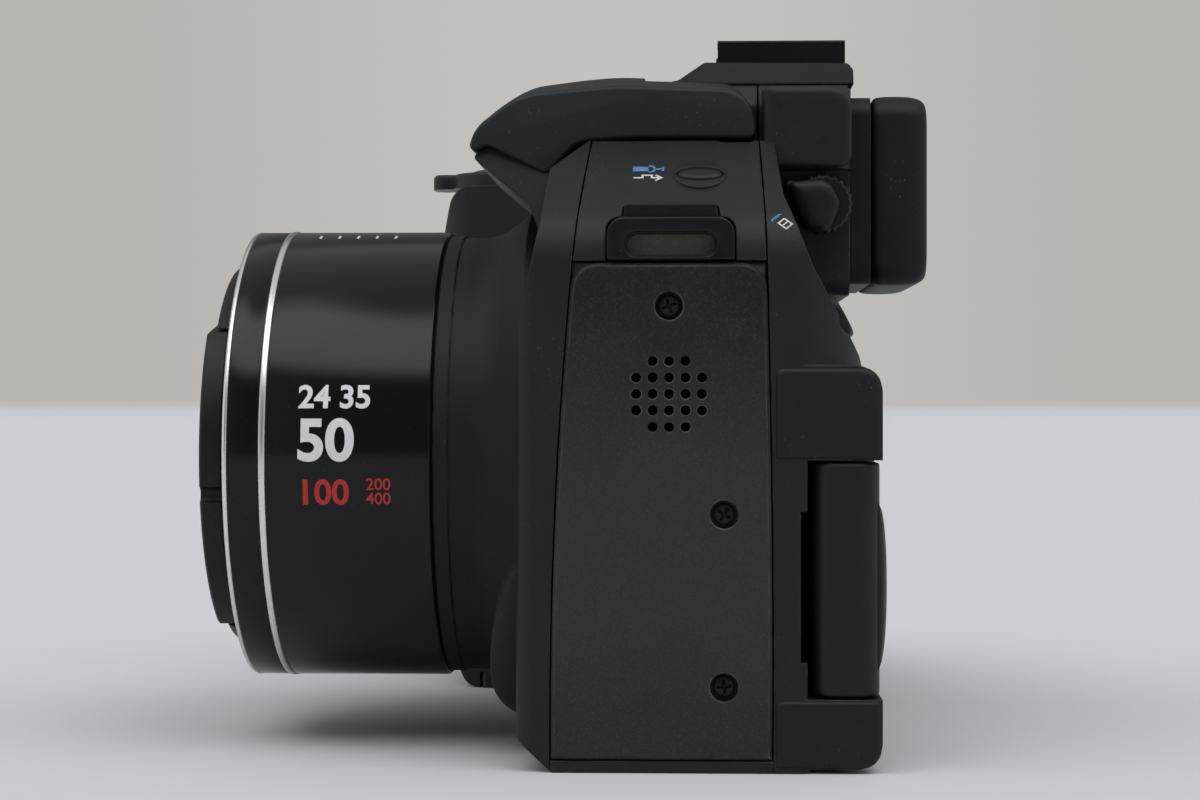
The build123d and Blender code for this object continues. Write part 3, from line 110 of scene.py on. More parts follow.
class Finish(Graph):
    """A material. Its drift is a noise's size and detail and the two colours it mixes."""

    def __init__(self, name, drift=None, **uniform):
        self.material = bpy.data.materials.new(name)
        super().__init__(self.material)
        self.surface = self.tree.nodes["Principled BSDF"]
        self.vary(**uniform)
        self.place = self.node("ShaderNodeTexCoord", output="Object")
        if drift:
            size, detail, dark, light = drift
            self.vary(Base_Color=self.mixed(self.noise(size, detail), shade(dark), shade(light)))

    def vary(self, **signals):
        """Feeds the surface shader's sockets, each named by the words of its label."""
        for socket, value in signals.items():
            self.feed(self.surface.inputs[socket.replace("_", " ")], value)

    def noise(self, size, detail=2.0):
        """Soft random values of a size in millimetres."""
        values = {"Vector": self.place, "Scale": 1 / (size * millimetre), "Detail": detail}
        return self.node("ShaderNodeTexNoise", values)

    def cells(self, size, output="Distance"):
        """Random cells of a size in millimetres."""
        values = {"Vector": self.place, "Scale": 1 / (size * millimetre)}
        return self.node("ShaderNodeTexVoronoi", values, output)

    def strokes(self, scale, detail):
        """Noise drawn out into fine lines, by its scale along X, Y and Z."""
        drawn = self.node("ShaderNodeMapping", {"Vector": self.place, "Scale": scale})
        values = {"Vector": drawn, "Scale": 1.0, "Detail": detail}
        return self.node("ShaderNodeTexNoise", values)

    def along(self, axis):
        """The place on the object along X, Y or Z, in millimetres."""
        split = self.node("ShaderNodeSeparateXYZ", {0: self.place}, axis)
        return split * (1 / millimetre)

    def rounded(self, radius):
        """The surface normal with its edges softened by a radius in millimetres."""
        return self.node("ShaderNodeBevel", {"Radius": radius * millimetre}, samples=6)

    def edges(self, softened, low, high):
        """1 on the object's edges, where the softened normal leaves the flat one."""
        flat = self.node("ShaderNodeNewGeometry", output="Normal")
        same = self.node(
            "ShaderNodeVectorMath", {0: softened, 1: flat}, "Value", operation="DOT_PRODUCT"
        )
        return self.rise(1 - same, low, high)

    def relief(self, height, depth, normal=None):
        """Bumps of a depth in millimetres, over the softened normal if there is one."""
        values = {"Height": height, "Distance": depth * millimetre, "Strength": 1.0}
        if normal is not None:
            values["Normal"] = normal
        self.vary(Normal=self.node("ShaderNodeBump", values))


def shade(colour, factor=1.0):
    """A colour for a socket, made lighter or darker by a factor."""
    return tuple(part * factor for part in colour) + (1.0,)


rubbed_colour = (0.11, 0.11, 0.105)
dust_colour = (0.16, 0.16, 0.15)


def moulded(name, colour, roughness, grain=0.35, depth=0.012, dust=0.5, wear=0.5, soft=0.35):
    """Moulded plastic: fine grain, uneven sheen, rubbed edges and a little dust."""
    finish = Finish(name, IOR=1.33)
    patches = finish.noise(size=9.0, detail=4.0)
    fine = finish.noise(size=grain, detail=2.0)
    softened = finish.rounded(soft)
    worn = finish.rise(finish.noise(size=2.5, detail=5.0), 0.42, 0.62)
    rubbed = finish.edges(softened, 0.03, 0.3) * worn
    specks = finish.rise(finish.noise(size=0.28, detail=1.0), 0.70, 0.80)
    tone = finish.mixed(patches, shade(colour, 0.82), shade(colour, 1.2))
    tone = finish.mixed(rubbed * wear, tone, shade(rubbed_colour))
    settled = specks * finish.rise(patches, 0.42, 0.66)
    tone = finish.mixed(settled * dust, tone, shade(dust_colour))
    finish.vary(Base_Color=tone, Roughness=patches * 0.16 + (roughness - 0.08) + rubbed * 0.08)
    finish.relief(fine, depth, softened)
    return finish


def dress(finish, *nodes):
    """Gives carried-over nodes their finish."""
    for node in nodes:
        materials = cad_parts[node].data.materials
        materials.clear()
        materials.append(finish.material)


shell_colour = (0.0118, 0.0125, 0.0137)
shell_plastic = moulded("shell_plastic", shell_colour, 0.47)
dress(shell_plastic, "front_shell", "rear_shell", "top_cover", "bottom_cover", "right_side_cover")

# Chassis: one black-painted casting inside the shells, which carries every mechanism.
# It shows only through the slots, the doors and the room behind the screen.
dress(moulded("chassis_paint", (0.004, 0.004, 0.0042), 0.6, grain=0.6, wear=0.2), "chassis")

# Side panel: a plate of charcoal plastic with bright flakes in it, held by three screws.
# It stands a little proud of the shells and has a grid of holes for the speaker.
panel_colour = (0.0205, 0.0212, 0.0222)
flake_colour = (0.16, 0.16, 0.155)
flake_size = 0.15
panel_rubbed_colour = (0.17, 0.17, 0.165)
# Heights of the panel's painted light and shade: painted shade above panel_top, full painted light
# from panel_light_top down to panel_light_foot, half painted shade again by panel_foot.
panel_top = 56.0
panel_light_top = 30.0
panel_light_foot = 20.0
panel_foot = 3.0


def flaked(name, colour, roughness):
    """Dark plastic with a fine bright flake, denser in cloudy patches, with painted light and shade
    by height.
    """
    finish = Finish(name, IOR=1.33)
    clouds = finish.noise(size=14.0, detail=5.0)
    chips = finish.cells(flake_size, "Color")
    chosen = finish.node("ShaderNodeSeparateColor", {0: chips}, "Red")
    shine = finish.node("ShaderNodeSeparateColor", {0: chips}, "Green")
    flakes = finish.rise(chosen + (clouds - 0.5) * 0.3, 0.5, 1.0) * finish.rise(shine, 0.0, 1.0)
    softened = finish.rounded(0.4)
    worn = finish.rise(finish.noise(size=3.0, detail=4.0), 0.35, 0.6)
    rubbed = finish.edges(softened, 0.02, 0.25) * worn
    # Painted light and shade: a lighter band across the panel's middle, darker towards its top and
    # its foot.
    height = finish.along("Z")
    painted_foot_shade = finish.rise(height, panel_light_foot, panel_foot) * 0.5
    painted_light_band = finish.rise(height, panel_top, panel_light_top) * (1 - painted_foot_shade)
    tone = finish.mixed(clouds * 0.35 + painted_light_band * 0.65, shade(colour, 0.25), shade(colour, 1.6))
    tone = finish.mixed(flakes * 0.2, tone, shade(flake_colour))
    tone = finish.mixed(rubbed * 0.9, tone, shade(panel_rubbed_colour))
    finish.vary(Base_Color=tone, Roughness=0.1 * clouds + roughness, Metallic=flakes * 0.5)
    finish.relief(finish.noise(size=0.4, detail=3.0), 0.010, softened)
    return finish


panel_plastic = flaked("panel_plastic", panel_colour, 0.40)
dress(panel_plastic, "side_panel")

# Screws of the side panel: small blackened steel screws with a domed head.
# Each head has a cross recess, and sits sunk in a round bore of the panel.
screw_steel = moulded("screw_steel", (0.006, 0.006, 0.0063), 0.34, grain=0.2, dust=0.3, soft=0.08)
screw_reach = 1.28
screw_top = -0.42
screw_foot = -5.0
screw_shank = 0.75
screw_dome = 0.30
cross_half = 0.17
cross_reach = 0.86
cross_depth = 0.62
cross_slope = 0.07
cross_end = 0.16
screw_rim = 0.4
screw_rows = 26
screw_turns = 96
first_turn = 20
next_turn = 37
panel_face = 36.5
screw_spots = [(-2.4, 53.96), (3.94, 29.9), (3.94, 9.99)]


def piece(name, mesh):
    """An object from mesh data that was drawn in millimetres."""
    bmesh.ops.scale(mesh, vec=Vector((millimetre,) * 3), verts=mesh.verts)
    bmesh.ops.recalc_face_normals(mesh, faces=mesh.faces)
    data = bpy.data.meshes.new(name)
    mesh.to_mesh(data)
    mesh.free()
    data.shade_smooth()
    made = bpy.data.objects.new(name, data)
    bpy.context.scene.collection.objects.link(made)
    return made


def settle(made, body, slot, finish, *nodes):
    """Gives a piece its finish and its body, and hides the nodes that it stands for; its slot is
    not used.
    """
    made.data.materials.clear()
    made.data.materials.append(finish.material)
    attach(made, body)
    if nodes:
        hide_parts(*nodes)


def oval(half_width, half_height, turns):
    """Points round an oval about zero."""
    angles = [math.tau * turn / turns for turn in range(turns)]
    return [(half_width * math.cos(angle), half_height * math.sin(angle)) for angle in angles]


def loft(name, rings, closed=False, crease=None):
    """A skin over rings that have the same number of points, sharp above a crease angle."""
    mesh = bmesh.new()
    rows = [[mesh.verts.new(point) for point in ring] for ring in rings]
    pairs = list(zip(rows, rows[1:]))
    if closed:
        pairs.append((rows[-1], rows[0]))
    for low, high in pairs:
        for step in range(len(low)):
            mesh.faces.new((low[step - 1], low[step], high[step], high[step - 1]))
    if not closed:
        mesh.faces.new(rows[0])
        mesh.faces.new(rows[-1])
    made = piece(name, mesh)
    if crease:
        made.data.set_sharp_from_angle(angle=math.radians(crease))
    return made


def bevelled(made, width):
    """Rounds a piece's sharper edges."""
    bevel = made.modifiers.new("edges", "BEVEL")
    bevel.width = width * millimetre
    bevel.segments = 2
    bevel.limit_method = "ANGLE"
    bevel.angle_limit = math.radians(32)


def cross_screw(name, spot):
    """A domed screw head with a cross recess, drawn on rings about its own axis."""
    rings = []
    for row in range(screw_rows + 1):
        share = max(row / screw_rows, 0.01)
        ring = []
        for x, y in oval(screw_reach * share, screw_reach * share, screw_turns):
            arm = min(abs(x), abs(y))
            length = max(abs(x), abs(y))
            inside = min(max((cross_half - arm) / cross_slope, 0), 1)
            inside = inside * min(max((cross_reach - length) / cross_end, 0), 1)
            height = screw_top + screw_dome * (1 - share ** 2) - cross_depth * inside
            ring.append(spot @ Vector((x, y, height)))
        rings.append(ring)
    for radius, height in ((screw_reach, screw_top - screw_rim),
                           (screw_shank, screw_top - screw_rim - 0.05),
                           (screw_shank, screw_foot)):
        circle = oval(radius, radius, screw_turns)
        rings.append([spot @ Vector((x, y, height)) for x, y in circle])
    return loft(name, rings)


def facing(origin, right, normal):
    """A frame at a point, with its own x axis to the right and its z axis out."""
    out = Vector(normal).normalized()
    side = Vector(right).normalized()
    up = out.cross(side)
    turn = Matrix((side, up, out)).transposed().to_4x4()
    return Matrix.Translation(Vector(origin)) @ turn


for number, (y, z) in enumerate(screw_spots):
    turned = Matrix.Rotation(math.radians(first_turn + next_turn * number), 4, "Z")
    spot = facing((panel_face, y, z), (0, 1, 0), (1, 0, 0)) @ turned
    screw = cross_screw(f"panel_screw_{number + 1}", spot)
    settle(screw, "body", "black_steel", screw_steel, "side_panel_screws")

# Speaker: a small paper cone in a thin pressed frame, glued behind the side panel.
# It is seen only as dark through the panel's holes.
dress(moulded("speaker_paper", (0.006, 0.006, 0.006), 0.8, grain=0.15), "speaker")

# Ledge under the panel: the strip of shell that the panel's rounded top corners bare.
# It is of the shells' own plastic, and the lug's plate stands on it.
ledge_rows = [(1.0, 34.6), (1.0, 36.1), (0.995, 36.2)]


def rounded_points(corners, steps=7):
    """An outline's points, from rows of x, y and corner radius."""
    points = []
    for number, (x, y, radius) in enumerate(corners):
        here = Vector((x, y))
        before = (Vector(corners[number - 1][:2]) - here).normalized()
        after = (Vector(corners[(number + 1) % len(corners)][:2]) - here).normalized()
        half = before.angle(after) / 2
        reach = radius / math.tan(half)
        centre = here + (before + after).normalized() * (radius / math.sin(half))
        first = here + before * reach - centre
        turn = first.angle_signed(here + after * reach - centre)
        for step in range(steps + 1):
            points.append(centre + Matrix.Rotation(-turn * step / steps, 2) @ first)
    return points


def rounded_box(left, right, low, high, corners, steps=7):
    """A box with rounded corners: lower left, lower right, upper right, upper left."""
    ends = ((left, low), (right, low), (right, high), (left, high))
    return rounded_points([(*end, corner) for end, corner in zip(ends, corners)], steps)


def pillow(name, outline, middle, rows):
    """A cushion over a Y-Z outline, from rows of share of the outline and place along X."""
    middle = Vector(middle)
    return loft(name, [
        [(x, *(middle + (point - middle) * share)) for point in outline] for share, x in rows
    ])


ledge_outline = rounded_box(-13.7, 8.8, 56.4, 59.05, [0.2] * 4)
ledge = pillow("panel_ledge", ledge_outline, (-2.4, 57.7), ledge_rows)
settle(ledge, "body", "black_plastic", shell_plastic)

# Strap lugs: a flat metal loop screwed behind each shoulder, painted satin black.
# A lip of the plate runs round the slot, and a dusty felt strip lies behind it, coloured pale as
# painted light inside the shaded slot.
lug_paint = moulded("lug_paint", (0.0034, 0.0036, 0.0039), 0.38, grain=0.3, dust=0.25, wear=0.6,
                    soft=0.25)
lug_middle = -2.2
lug_bottom = 59.25
lug_half = 7.4
lug_top = 64.25
lug_crown_half = 5.6
lug_neck_half = 5.3
lug_crown_top = 65.85
lug_slot_half = 5.3
lug_slot_rise = 1.4
lug_slot_height = 61.1
lug_thickness = 1.5
lug_behind = 3.2


def filled(curve):
    """The mesh of a filled curve, to work on."""
    drawn = bpy.data.objects.new(curve.name, curve)
    shape = bpy.data.meshes.new_from_object(drawn)
    bpy.data.objects.remove(drawn)
    mesh = bmesh.new()
    mesh.from_mesh(shape)
    bpy.data.meshes.remove(shape)
    return mesh


def plate(name, outlines, start, end, edge, spot):
    """A flat plate with holes: outlines of points, drawn from start to end on a frame."""
    curve = bpy.data.curves.new(name, "CURVE")
    curve.dimensions = "2D"
    curve.fill_mode = "BOTH"
    curve.extrude = (end - start) / 2 - edge
    curve.bevel_depth = edge
    curve.bevel_resolution = 2
    curve.offset = -edge
    for outline in outlines:
        spline = curve.splines.new("POLY")
        spline.points.add(len(outline) - 1)
        for point, (x, y) in zip(spline.points, outline):
            point.co = (x, y, 0, 1)
        spline.use_cyclic_u = True
    mesh = filled(curve)
    bmesh.ops.remove_doubles(mesh, verts=mesh.verts, dist=0.001)
    middle = Matrix.Translation((0, 0, (start + end) / 2))
    bmesh.ops.transform(mesh, matrix=spot @ middle, verts=mesh.verts)
    made = piece(name, mesh)
    made.data.set_sharp_from_angle(angle=math.radians(40))
    return made


lug_outline = rounded_box(
    lug_middle - lug_half, lug_middle + lug_half, lug_bottom, lug_top, (0.3, 0.3, 2.0, 2.0))
lug_crown_foot = lug_bottom + 3.6
lug_crown = rounded_points([
    (lug_middle - lug_crown_half, lug_crown_foot, 0.2),
    (lug_middle + lug_crown_half, lug_crown_foot, 0.2),
    (lug_middle + lug_neck_half, lug_crown_top, 0.4),
    (lug_middle - lug_neck_half, lug_crown_top, 0.4),
])


def lug_slot(grow):
    """The slot's outline, wider by a margin."""
    rise = lug_slot_rise + grow
    half = lug_slot_half + grow
    return rounded_box(
        lug_middle - half, lug_middle + half, lug_slot_height - rise, lug_slot_height + rise,
        [rise * 0.98] * 4)


# The felt's pale colour is partly painted light, so that it reads lit inside the shaded slot; its
# specks are dust.
felt_strip_and_painted_light = moulded("felt_strip_and_painted_light", (0.105, 0.100, 0.086), 0.95, grain=0.2, depth=0.12, dust=1.6)
lug_sides = [("left", 36.9, 1, lug_behind), ("right", -90.0, -1, lug_behind + 2)]
for side, face, out, reach in lug_sides:
    spot = facing((face, 0, 0), (0, 1, 0), (1, 0, 0))
    lug_node = (f"strap_lug_{side}",)
    layers = [
        ("strap_lug_plate", [lug_outline, lug_slot(0)], 0, lug_thickness, 0.25, lug_node),
        ("strap_lug_crown", [lug_crown], 0.7, reach, 0.2, lug_node),
        ("strap_lug_root", [lug_outline, lug_slot(0.25)], lug_thickness, reach, 0.1, lug_node),
        ("strap_lug_lip", [lug_slot(0.24), lug_slot(-0.22)], 0.55, 1.9, 0.12, ()),
        ("strap_felt", [lug_slot(0.2)], 1.95, 2.6, 0.1, ()),
    ]
    for name, outlines, near, far, edge, replaced in layers:
        depth = sorted((-near * out, -far * out))
        layer = plate(f"{name}_{side}", outlines, *depth, edge, spot)
        paint = felt_strip_and_painted_light if name == "strap_felt" else lug_paint
        settle(layer, "body", "lug_metal", paint, *replaced)

# Grip skin: a sheet of rubber with a leather-like grain, moulded to the grip's shape.
# It is glued into a shallow recess that runs round the grip.
grip_rubber = Finish("grip_rubber", IOR=1.5)
pore_size = 0.9
pit_painted_shade = (0.008, 0.008, 0.0085)
crease_light = (0.019, 0.019, 0.0195)
# The grain's pits are coloured darker as painted shade; the same mask lowers them in the bump.
creases_and_pit_shade = grip_rubber.rise(grip_rubber.cells(pore_size), 0.06, 0.42)
grip_rubber.vary(
    Base_Color=grip_rubber.mixed(creases_and_pit_shade, shade(pit_painted_shade), shade(crease_light)),
    Roughness=0.56 + grip_rubber.noise(size=12.0, detail=4.0) * 0.2,
)
grip_rubber.relief(creases_and_pit_shade + grip_rubber.noise(size=0.3) * 0.3, 0.07, grip_rubber.rounded(0.3))
dress(grip_rubber, "grip_skin")

# Lens collar and band: the flared plastic neck that joins the fixed sleeve to the body.
# The narrow band next to the sleeve is duller and darker than the neck.
collar_colour = (0.0050, 0.0054, 0.0059)
dress(moulded("collar_plastic", collar_colour, 0.55, grain=0.3, dust=0.3), "lens_collar")

# Ring release: a sprung plastic bulge beside the collar, dull and dusty from handling.
# It follows the round of the collar and swells from its top to its foot.
release_plastic = moulded("release_plastic", (0.0125, 0.0128, 0.0130), 0.6, grain=0.45, depth=0.05,
                          dust=1.0, soft=0.3)
lens_height = 36.2
release_start = 20.5
release_peak = 49.0
release_end = 64.0
release_inner = 31.7
release_outer = 36.2
release_base = 20.0
release_rise = 4.2
release_sunk = 0.8
release_across = 18
release_steps = 48


def by_lens(radius, turn, forward):
    """A point near the lens, by radius, angle in degrees and forward place."""
    angle = math.radians(turn)
    return (radius * math.cos(angle), -forward, lens_height + radius * math.sin(angle))


def release_ring(turn):
    """One cross-section of the bulge, at an angle below the lens axis."""
    before = max((release_peak - turn) / (release_peak - release_start), 0)
    after = max((turn - release_peak) / (release_end - release_peak), 0)
    lift = release_rise * math.sqrt(max(1 - before ** 1.5 - after ** 3, 0))
    ring = []
    for step in range(release_across + 1):
        across = step / release_across
        radius = release_inner + (release_outer - release_inner) * across
        forward = release_base + lift * math.sqrt(1 - abs(2 * across - 1) ** 3)
        ring.append(by_lens(radius, -turn, forward))
    ring.append(by_lens(release_outer, -turn, release_base - release_sunk))
    ring.append(by_lens(release_inner, -turn, release_base - release_sunk))
    return ring


release = loft("ring_release", [
    release_ring(release_start + (release_end - release_start) * step / release_steps)
    for step in range(release_steps + 1)
])
settle(release, "ring_release", "black_plastic", release_plastic, "ring_release_button")

# Lens sleeve: the fixed barrel, moulded in polished black, with two bright rings let in.
# The rings are turned aluminium; one trims the front edge, the other sits behind it.
sleeve_bore = 27.3
sleeve_radius = 28.7
sleeve_back = 30.75
sleeve_front = 55.8
ring_middle = 51.1
ring_half = 0.45
groove_depth = 0.4
edge_ring = 0.5
sleeve_lip = 0.25
sleeve_slant = 0.35
lens_turns = 240


def turned_about_lens(name, rows, closed=True):
    """A ring turned about the lens axis, from rows of radius and forward place."""
    return loft(name, [
        [(x, -forward, lens_height + z) for x, z in oval(radius, radius, lens_turns)]
        for radius, forward in rows
    ], closed)


polished_black = Finish("polished_black", IOR=1.33)
polish_colour = (0.0040, 0.0041, 0.0042)
polish_speck = (0.05, 0.05, 0.05)
wiping = polished_black.noise(size=5.0, detail=6.0)
hairlines = polished_black.strokes((40.0, 1400.0, 40.0), 4.0)
sleeve_specks = polished_black.rise(polished_black.noise(size=0.3, detail=1.0), 0.74, 0.80)
polished_black.vary(
    Base_Color=polished_black.mixed(sleeve_specks * 0.5, shade(polish_colour), shade(polish_speck)),
    Roughness=0.085 + wiping * 0.07 + hairlines * 0.04,
)
polished_black.relief(hairlines, 0.0012, polished_black.rounded(0.2))
groove_radius = sleeve_radius - groove_depth
sleeve = turned_about_lens("sleeve_barrel", [
    (sleeve_bore, sleeve_back), (sleeve_radius - sleeve_lip, sleeve_back),
    (sleeve_radius, sleeve_back + sleeve_slant), (sleeve_radius, ring_middle - ring_half),
    (groove_radius, ring_middle - ring_half), (groove_radius, ring_middle + ring_half),
    (sleeve_radius, ring_middle + ring_half), (sleeve_radius, sleeve_front - edge_ring),
    (groove_radius, sleeve_front - edge_ring), (groove_radius, sleeve_front),
    (sleeve_bore, sleeve_front),
])
bevelled(sleeve, 0.05)
settle(sleeve, "body", "gloss_black", polished_black, "lens_sleeve")

ring_tones = (1.5, 4.0, (0.66, 0.66, 0.65), (0.86, 0.86, 0.85))
bright_ring = Finish("bright_ring", ring_tones, Metallic=1.0)
bright_ring.vary(Roughness=0.2 + bright_ring.strokes((60.0, 6000.0, 60.0), 3.0) * 0.15)
ring_seat = 0.02
ring_play = 0.03
ring_proud = 0.12
ring_bottom = groove_radius + ring_seat
middle_ring = turned_about_lens("trim_ring_middle", [
    (ring_bottom, ring_middle - ring_half + ring_play),
    (sleeve_radius + ring_seat, ring_middle - ring_half + ring_play),
    (sleeve_radius + ring_proud, ring_middle - ring_half * 0.5),
    (sleeve_radius + ring_proud, ring_middle + ring_half * 0.5),
    (sleeve_radius + ring_seat, ring_middle + ring_half - ring_play),
    (ring_bottom, ring_middle + ring_half - ring_play),
])
edge_trim = turned_about_lens("trim_ring_edge", [
    (ring_bottom, sleeve_front - edge_ring + ring_seat),
    (sleeve_radius, sleeve_front - edge_ring + ring_seat),
    (sleeve_radius + 0.04, sleeve_front - edge_ring * 0.5),
    (sleeve_radius - 0.08, sleeve_front + 0.06),
    (ring_bottom, sleeve_front + 0.08),
])
for trim in (middle_ring, edge_trim):
    settle(trim, "body", "bright_trim", bright_ring, "trim_rings")

# Printed scale on the sleeve: plain focal numbers and ticks, screen-printed in white
# and red ink that stands a few hundredths of a millimetre proud of the polish.
print_height = 0.03
ink_thickness = 0.012
line_thickness = 0.03
mitre_limit = 0.4
white_tones = (0.8, 3.0, (0.62, 0.63, 0.63), (0.74, 0.75, 0.75))
print_white = Finish("print_white", white_tones, Roughness=0.5)
red_tones = (0.8, 3.0, (0.36, 0.012, 0.010), (0.46, 0.020, 0.016))
print_red = Finish("print_red", red_tones, Roughness=0.5)


def printed_number(text, size, weight):
    """The flat mesh of a printed number, in millimetres, with its corner at zero."""
    curve = bpy.data.curves.new(f"number_{text}", "FONT")
    curve.body = text
    curve.size = size
    curve.offset = weight
    curve.extrude = ink_thickness
    mesh = filled(curve)
    for part in range(3):
        long = [edge for edge in mesh.edges if edge.calc_length() > size * 0.2]
        bmesh.ops.subdivide_edges(mesh, edges=long, cuts=1)
    bmesh.ops.triangulate(mesh, faces=mesh.faces)
    return mesh


def on_sleeve(mesh, back, height):
    """Wraps a flat print round the sleeve, its corner at a place along Y and a height."""
    start = math.asin((height - lens_height) / sleeve_radius)
    radius = sleeve_radius + print_height
    for vertex in mesh.verts:
        x, y, z = vertex.co
        angle = start + y / radius
        vertex.co = (
            (radius + z) * math.cos(angle), back + x, lens_height + (radius + z) * math.sin(angle)
        )


scale_numbers = [
    ("24", 3.9, 0.10, -46.8, 42.2, print_white, "white_a"),
    ("35", 3.9, 0.10, -41.9, 42.2, print_white, "white_b"),
    ("50", 6.9, 0.20, -46.9, 36.0, print_white, "white_c"),
    ("100", 4.2, 0.10, -46.9, 30.7, print_red, "red_a"),
    ("200", 2.0, 0.02, -38.6, 32.4, print_red, "red_b"),
    ("400", 2.0, 0.02, -38.6, 30.7, print_red, "red_c"),
]
for text, size, weight, back, height, ink, label in scale_numbers:
    mesh = printed_number(text, size, weight)
    on_sleeve(mesh, back, height)
    number = piece(f"scale_{label}", mesh)
    settle(number, "body", "gloss_black", ink)


def line_strip(mesh, points, width):
    """Adds a flat line with mitred corners to a mesh, lying on its own plane."""
    points = [Vector(point) for point in points]
    ways = [(after - here).normalized() for here, after in zip(points, points[1:])]
    sides = []
    for here, before, after in zip(points, ways[:1] + ways, ways + ways[-1:]):
        way = (before + after).normalized()
        cross = Vector((-way.y, way.x))
        reach = width / 2 / max(mitre_limit, abs(way.dot(after)))
        sides.append([
            mesh.verts.new((*(here + cross * reach * side), height))
            for height in (0, line_thickness) for side in (1, -1)
        ])
    for low, high in zip(sides, sides[1:]):
        for first, second in ((0, 1), (1, 3), (3, 2), (2, 0)):
            mesh.faces.new((low[first], low[second], high[second], high[first]))
    for end in (sides[0], sides[-1]):
        mesh.faces.new((end[0], end[1], end[3], end[2]))


tick_start = -47.0
tick_step = 2.4
tick_height = 63.6
tick_length = 1.6
tick_width = 0.32
for number in range(5):
    mesh = bmesh.new()
    line_strip(mesh, [(0, 0), (0, tick_length / 2), (0, tick_length)], tick_width)
    on_sleeve(mesh, tick_start + tick_step * number, tick_height)
    tick = piece(f"scale_tick_{number + 1}", mesh)
    settle(tick, "body", "gloss_black", print_white)

# Marks beside the shoulder button and the focus dial: small screen-printed signs for
# sound, charge and pages, laid on the shells as a thin film of ink.
mark_lift = 0.025
mark_start = 6.0
blue_tones = (0.4, 3.0, (0.07, 0.20, 0.42), (0.11, 0.28, 0.55))
print_blue = Finish("print_blue", blue_tones, Roughness=0.5)


def laid_on(node, mesh, spot):
    """Lays a flat print on a node's surface, straight along the frame's own axis."""
    skin = bmesh.new()
    skin.from_mesh(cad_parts[node].data)
    skin.transform(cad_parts[node].matrix_world)
    surface = BVHTree.FromBMesh(skin)
    skin.free()
    inward = -(spot.to_3x3() @ Vector((0, 0, 1)))
    for vertex in mesh.verts:
        x, y, z = vertex.co
        start = (spot @ Vector((x, y, mark_start))) * millimetre
        hit = surface.ray_cast(start, inward)[0]
        vertex.co = hit / millimetre - inward * (z + mark_lift)


def inked(name, node, spot, ink, lines, width):
    """Printed lines on a node's surface, as a piece."""
    mesh = bmesh.new()
    for points in lines:
        line_strip(mesh, points, width)
    laid_on(node, mesh, spot)
    made = piece(name, mesh)
    settle(made, "body", "black_plastic", ink)


def arc(x, y, radius, start, end, steps=12):
    """Points along an arc, from and to angles in degrees."""
    turns = [math.radians(start + (end - start) * step / steps) for step in range(steps + 1)]
    return [(x + radius * math.cos(turn), y + radius * math.sin(turn)) for turn in turns]


slope_out = (0.5812, 0, 0.8137)
shoulder_mark = facing((28.0, -5.1, 69.96), (0, 1, 0), slope_out)
microphone = [
    [(-1.7, 1.1), (0.2, 1.1)],
    arc(0.2, 1.1, 0.75, 90, -90),
    [(0.95, 1.1), (1.9, 1.1)],
    [(1.9, 1.6), (1.9, 0.6)],
]
inked("mark_sound_body", "top_cover", shoulder_mark, print_blue, microphone[:1], 1.1)
inked("mark_sound_lines", "top_cover", shoulder_mark, print_blue, microphone[1:], 0.3)
charge = [
    [(-1.6, -0.9), (-0.5, -0.9), (-0.5, -0.35), (0.6, -0.35), (0.6, -0.9), (1.7, -0.9)],
    [(1.0, -0.3), (1.75, -0.9), (1.0, -1.5)],
]
inked("mark_charge", "top_cover", shoulder_mark, print_white, charge, 0.26)
page_mark = facing((30.9, 8.4, 61.7), (0.35, 0.75, -0.55), (0.80, 0.42, 0.44))
page = [[(0.1, 0.5), (1.3, 0.5), (1.3, -0.5), (0.1, -0.5), (0.1, 0.52)], [(0.7, 0.5), (0.7, -0.5)]]
inked("mark_page", "rear_shell", page_mark, print_white, page, 0.18)
waves = [arc(-0.3, shift, 0.45, 120, 240) for shift in (-0.4, 0.0, 0.4)]
inked("mark_waves", "rear_shell", page_mark, print_blue, waves, 0.22)

# Zoom tubes: two thin black tubes that slide out of the sleeve, one inside the other.
# Fine turned lines run round them.
tube_tones = (8.0, 4.0, (0.009, 0.009, 0.0095), (0.014, 0.014, 0.015))
tube_plastic = Finish("tube_plastic", tube_tones, IOR=1.33)
tube_lines = tube_plastic.strokes((20.0, 2600.0, 20.0), 2.0)
tube_plastic.vary(Roughness=0.34 + tube_lines * 0.16)
tube_plastic.relief(tube_lines, 0.008, tube_plastic.rounded(0.25))
dress(tube_plastic, "zoom_tube_outer", "zoom_tube_inner")

# Front bezel and glass: a threaded plastic ring that clamps the coated front element.
# Behind it stand a stepped black baffle and a second, smaller element.
thread_scale = 640.0
film_thickness = 430.0
film_index = 1.36
bezel_tones = (3.0, 4.0, (0.008, 0.008, 0.0085), (0.013, 0.013, 0.014))
bezel_plastic = Finish("bezel_plastic", bezel_tones, IOR=1.33)
thread = bezel_plastic.node(
    "ShaderNodeTexWave", {"Vector": bezel_plastic.place, "Scale": thread_scale}, "Fac",
    bands_direction="Y",
)
bezel_plastic.vary(Roughness=0.42 + thread * 0.08)
bezel_plastic.relief(thread, 0.05, bezel_plastic.rounded(0.2))
dress(bezel_plastic, "front_bezel")

coating_tones = (20.0, 2.0, (0.90, 0.93, 0.95), (0.94, 0.96, 0.93))
coated_glass = Finish(
    "coated_glass", coating_tones, IOR=1.55, Transmission_Weight=1.0,
    Thin_Film_Thickness=film_thickness, Thin_Film_IOR=film_index,
)
breath = coated_glass.rise(coated_glass.noise(size=6.0, detail=5.0), 0.5, 0.9)
coated_glass.vary(Roughness=0.01 + breath * 0.03)
dress(coated_glass, "front_lens")

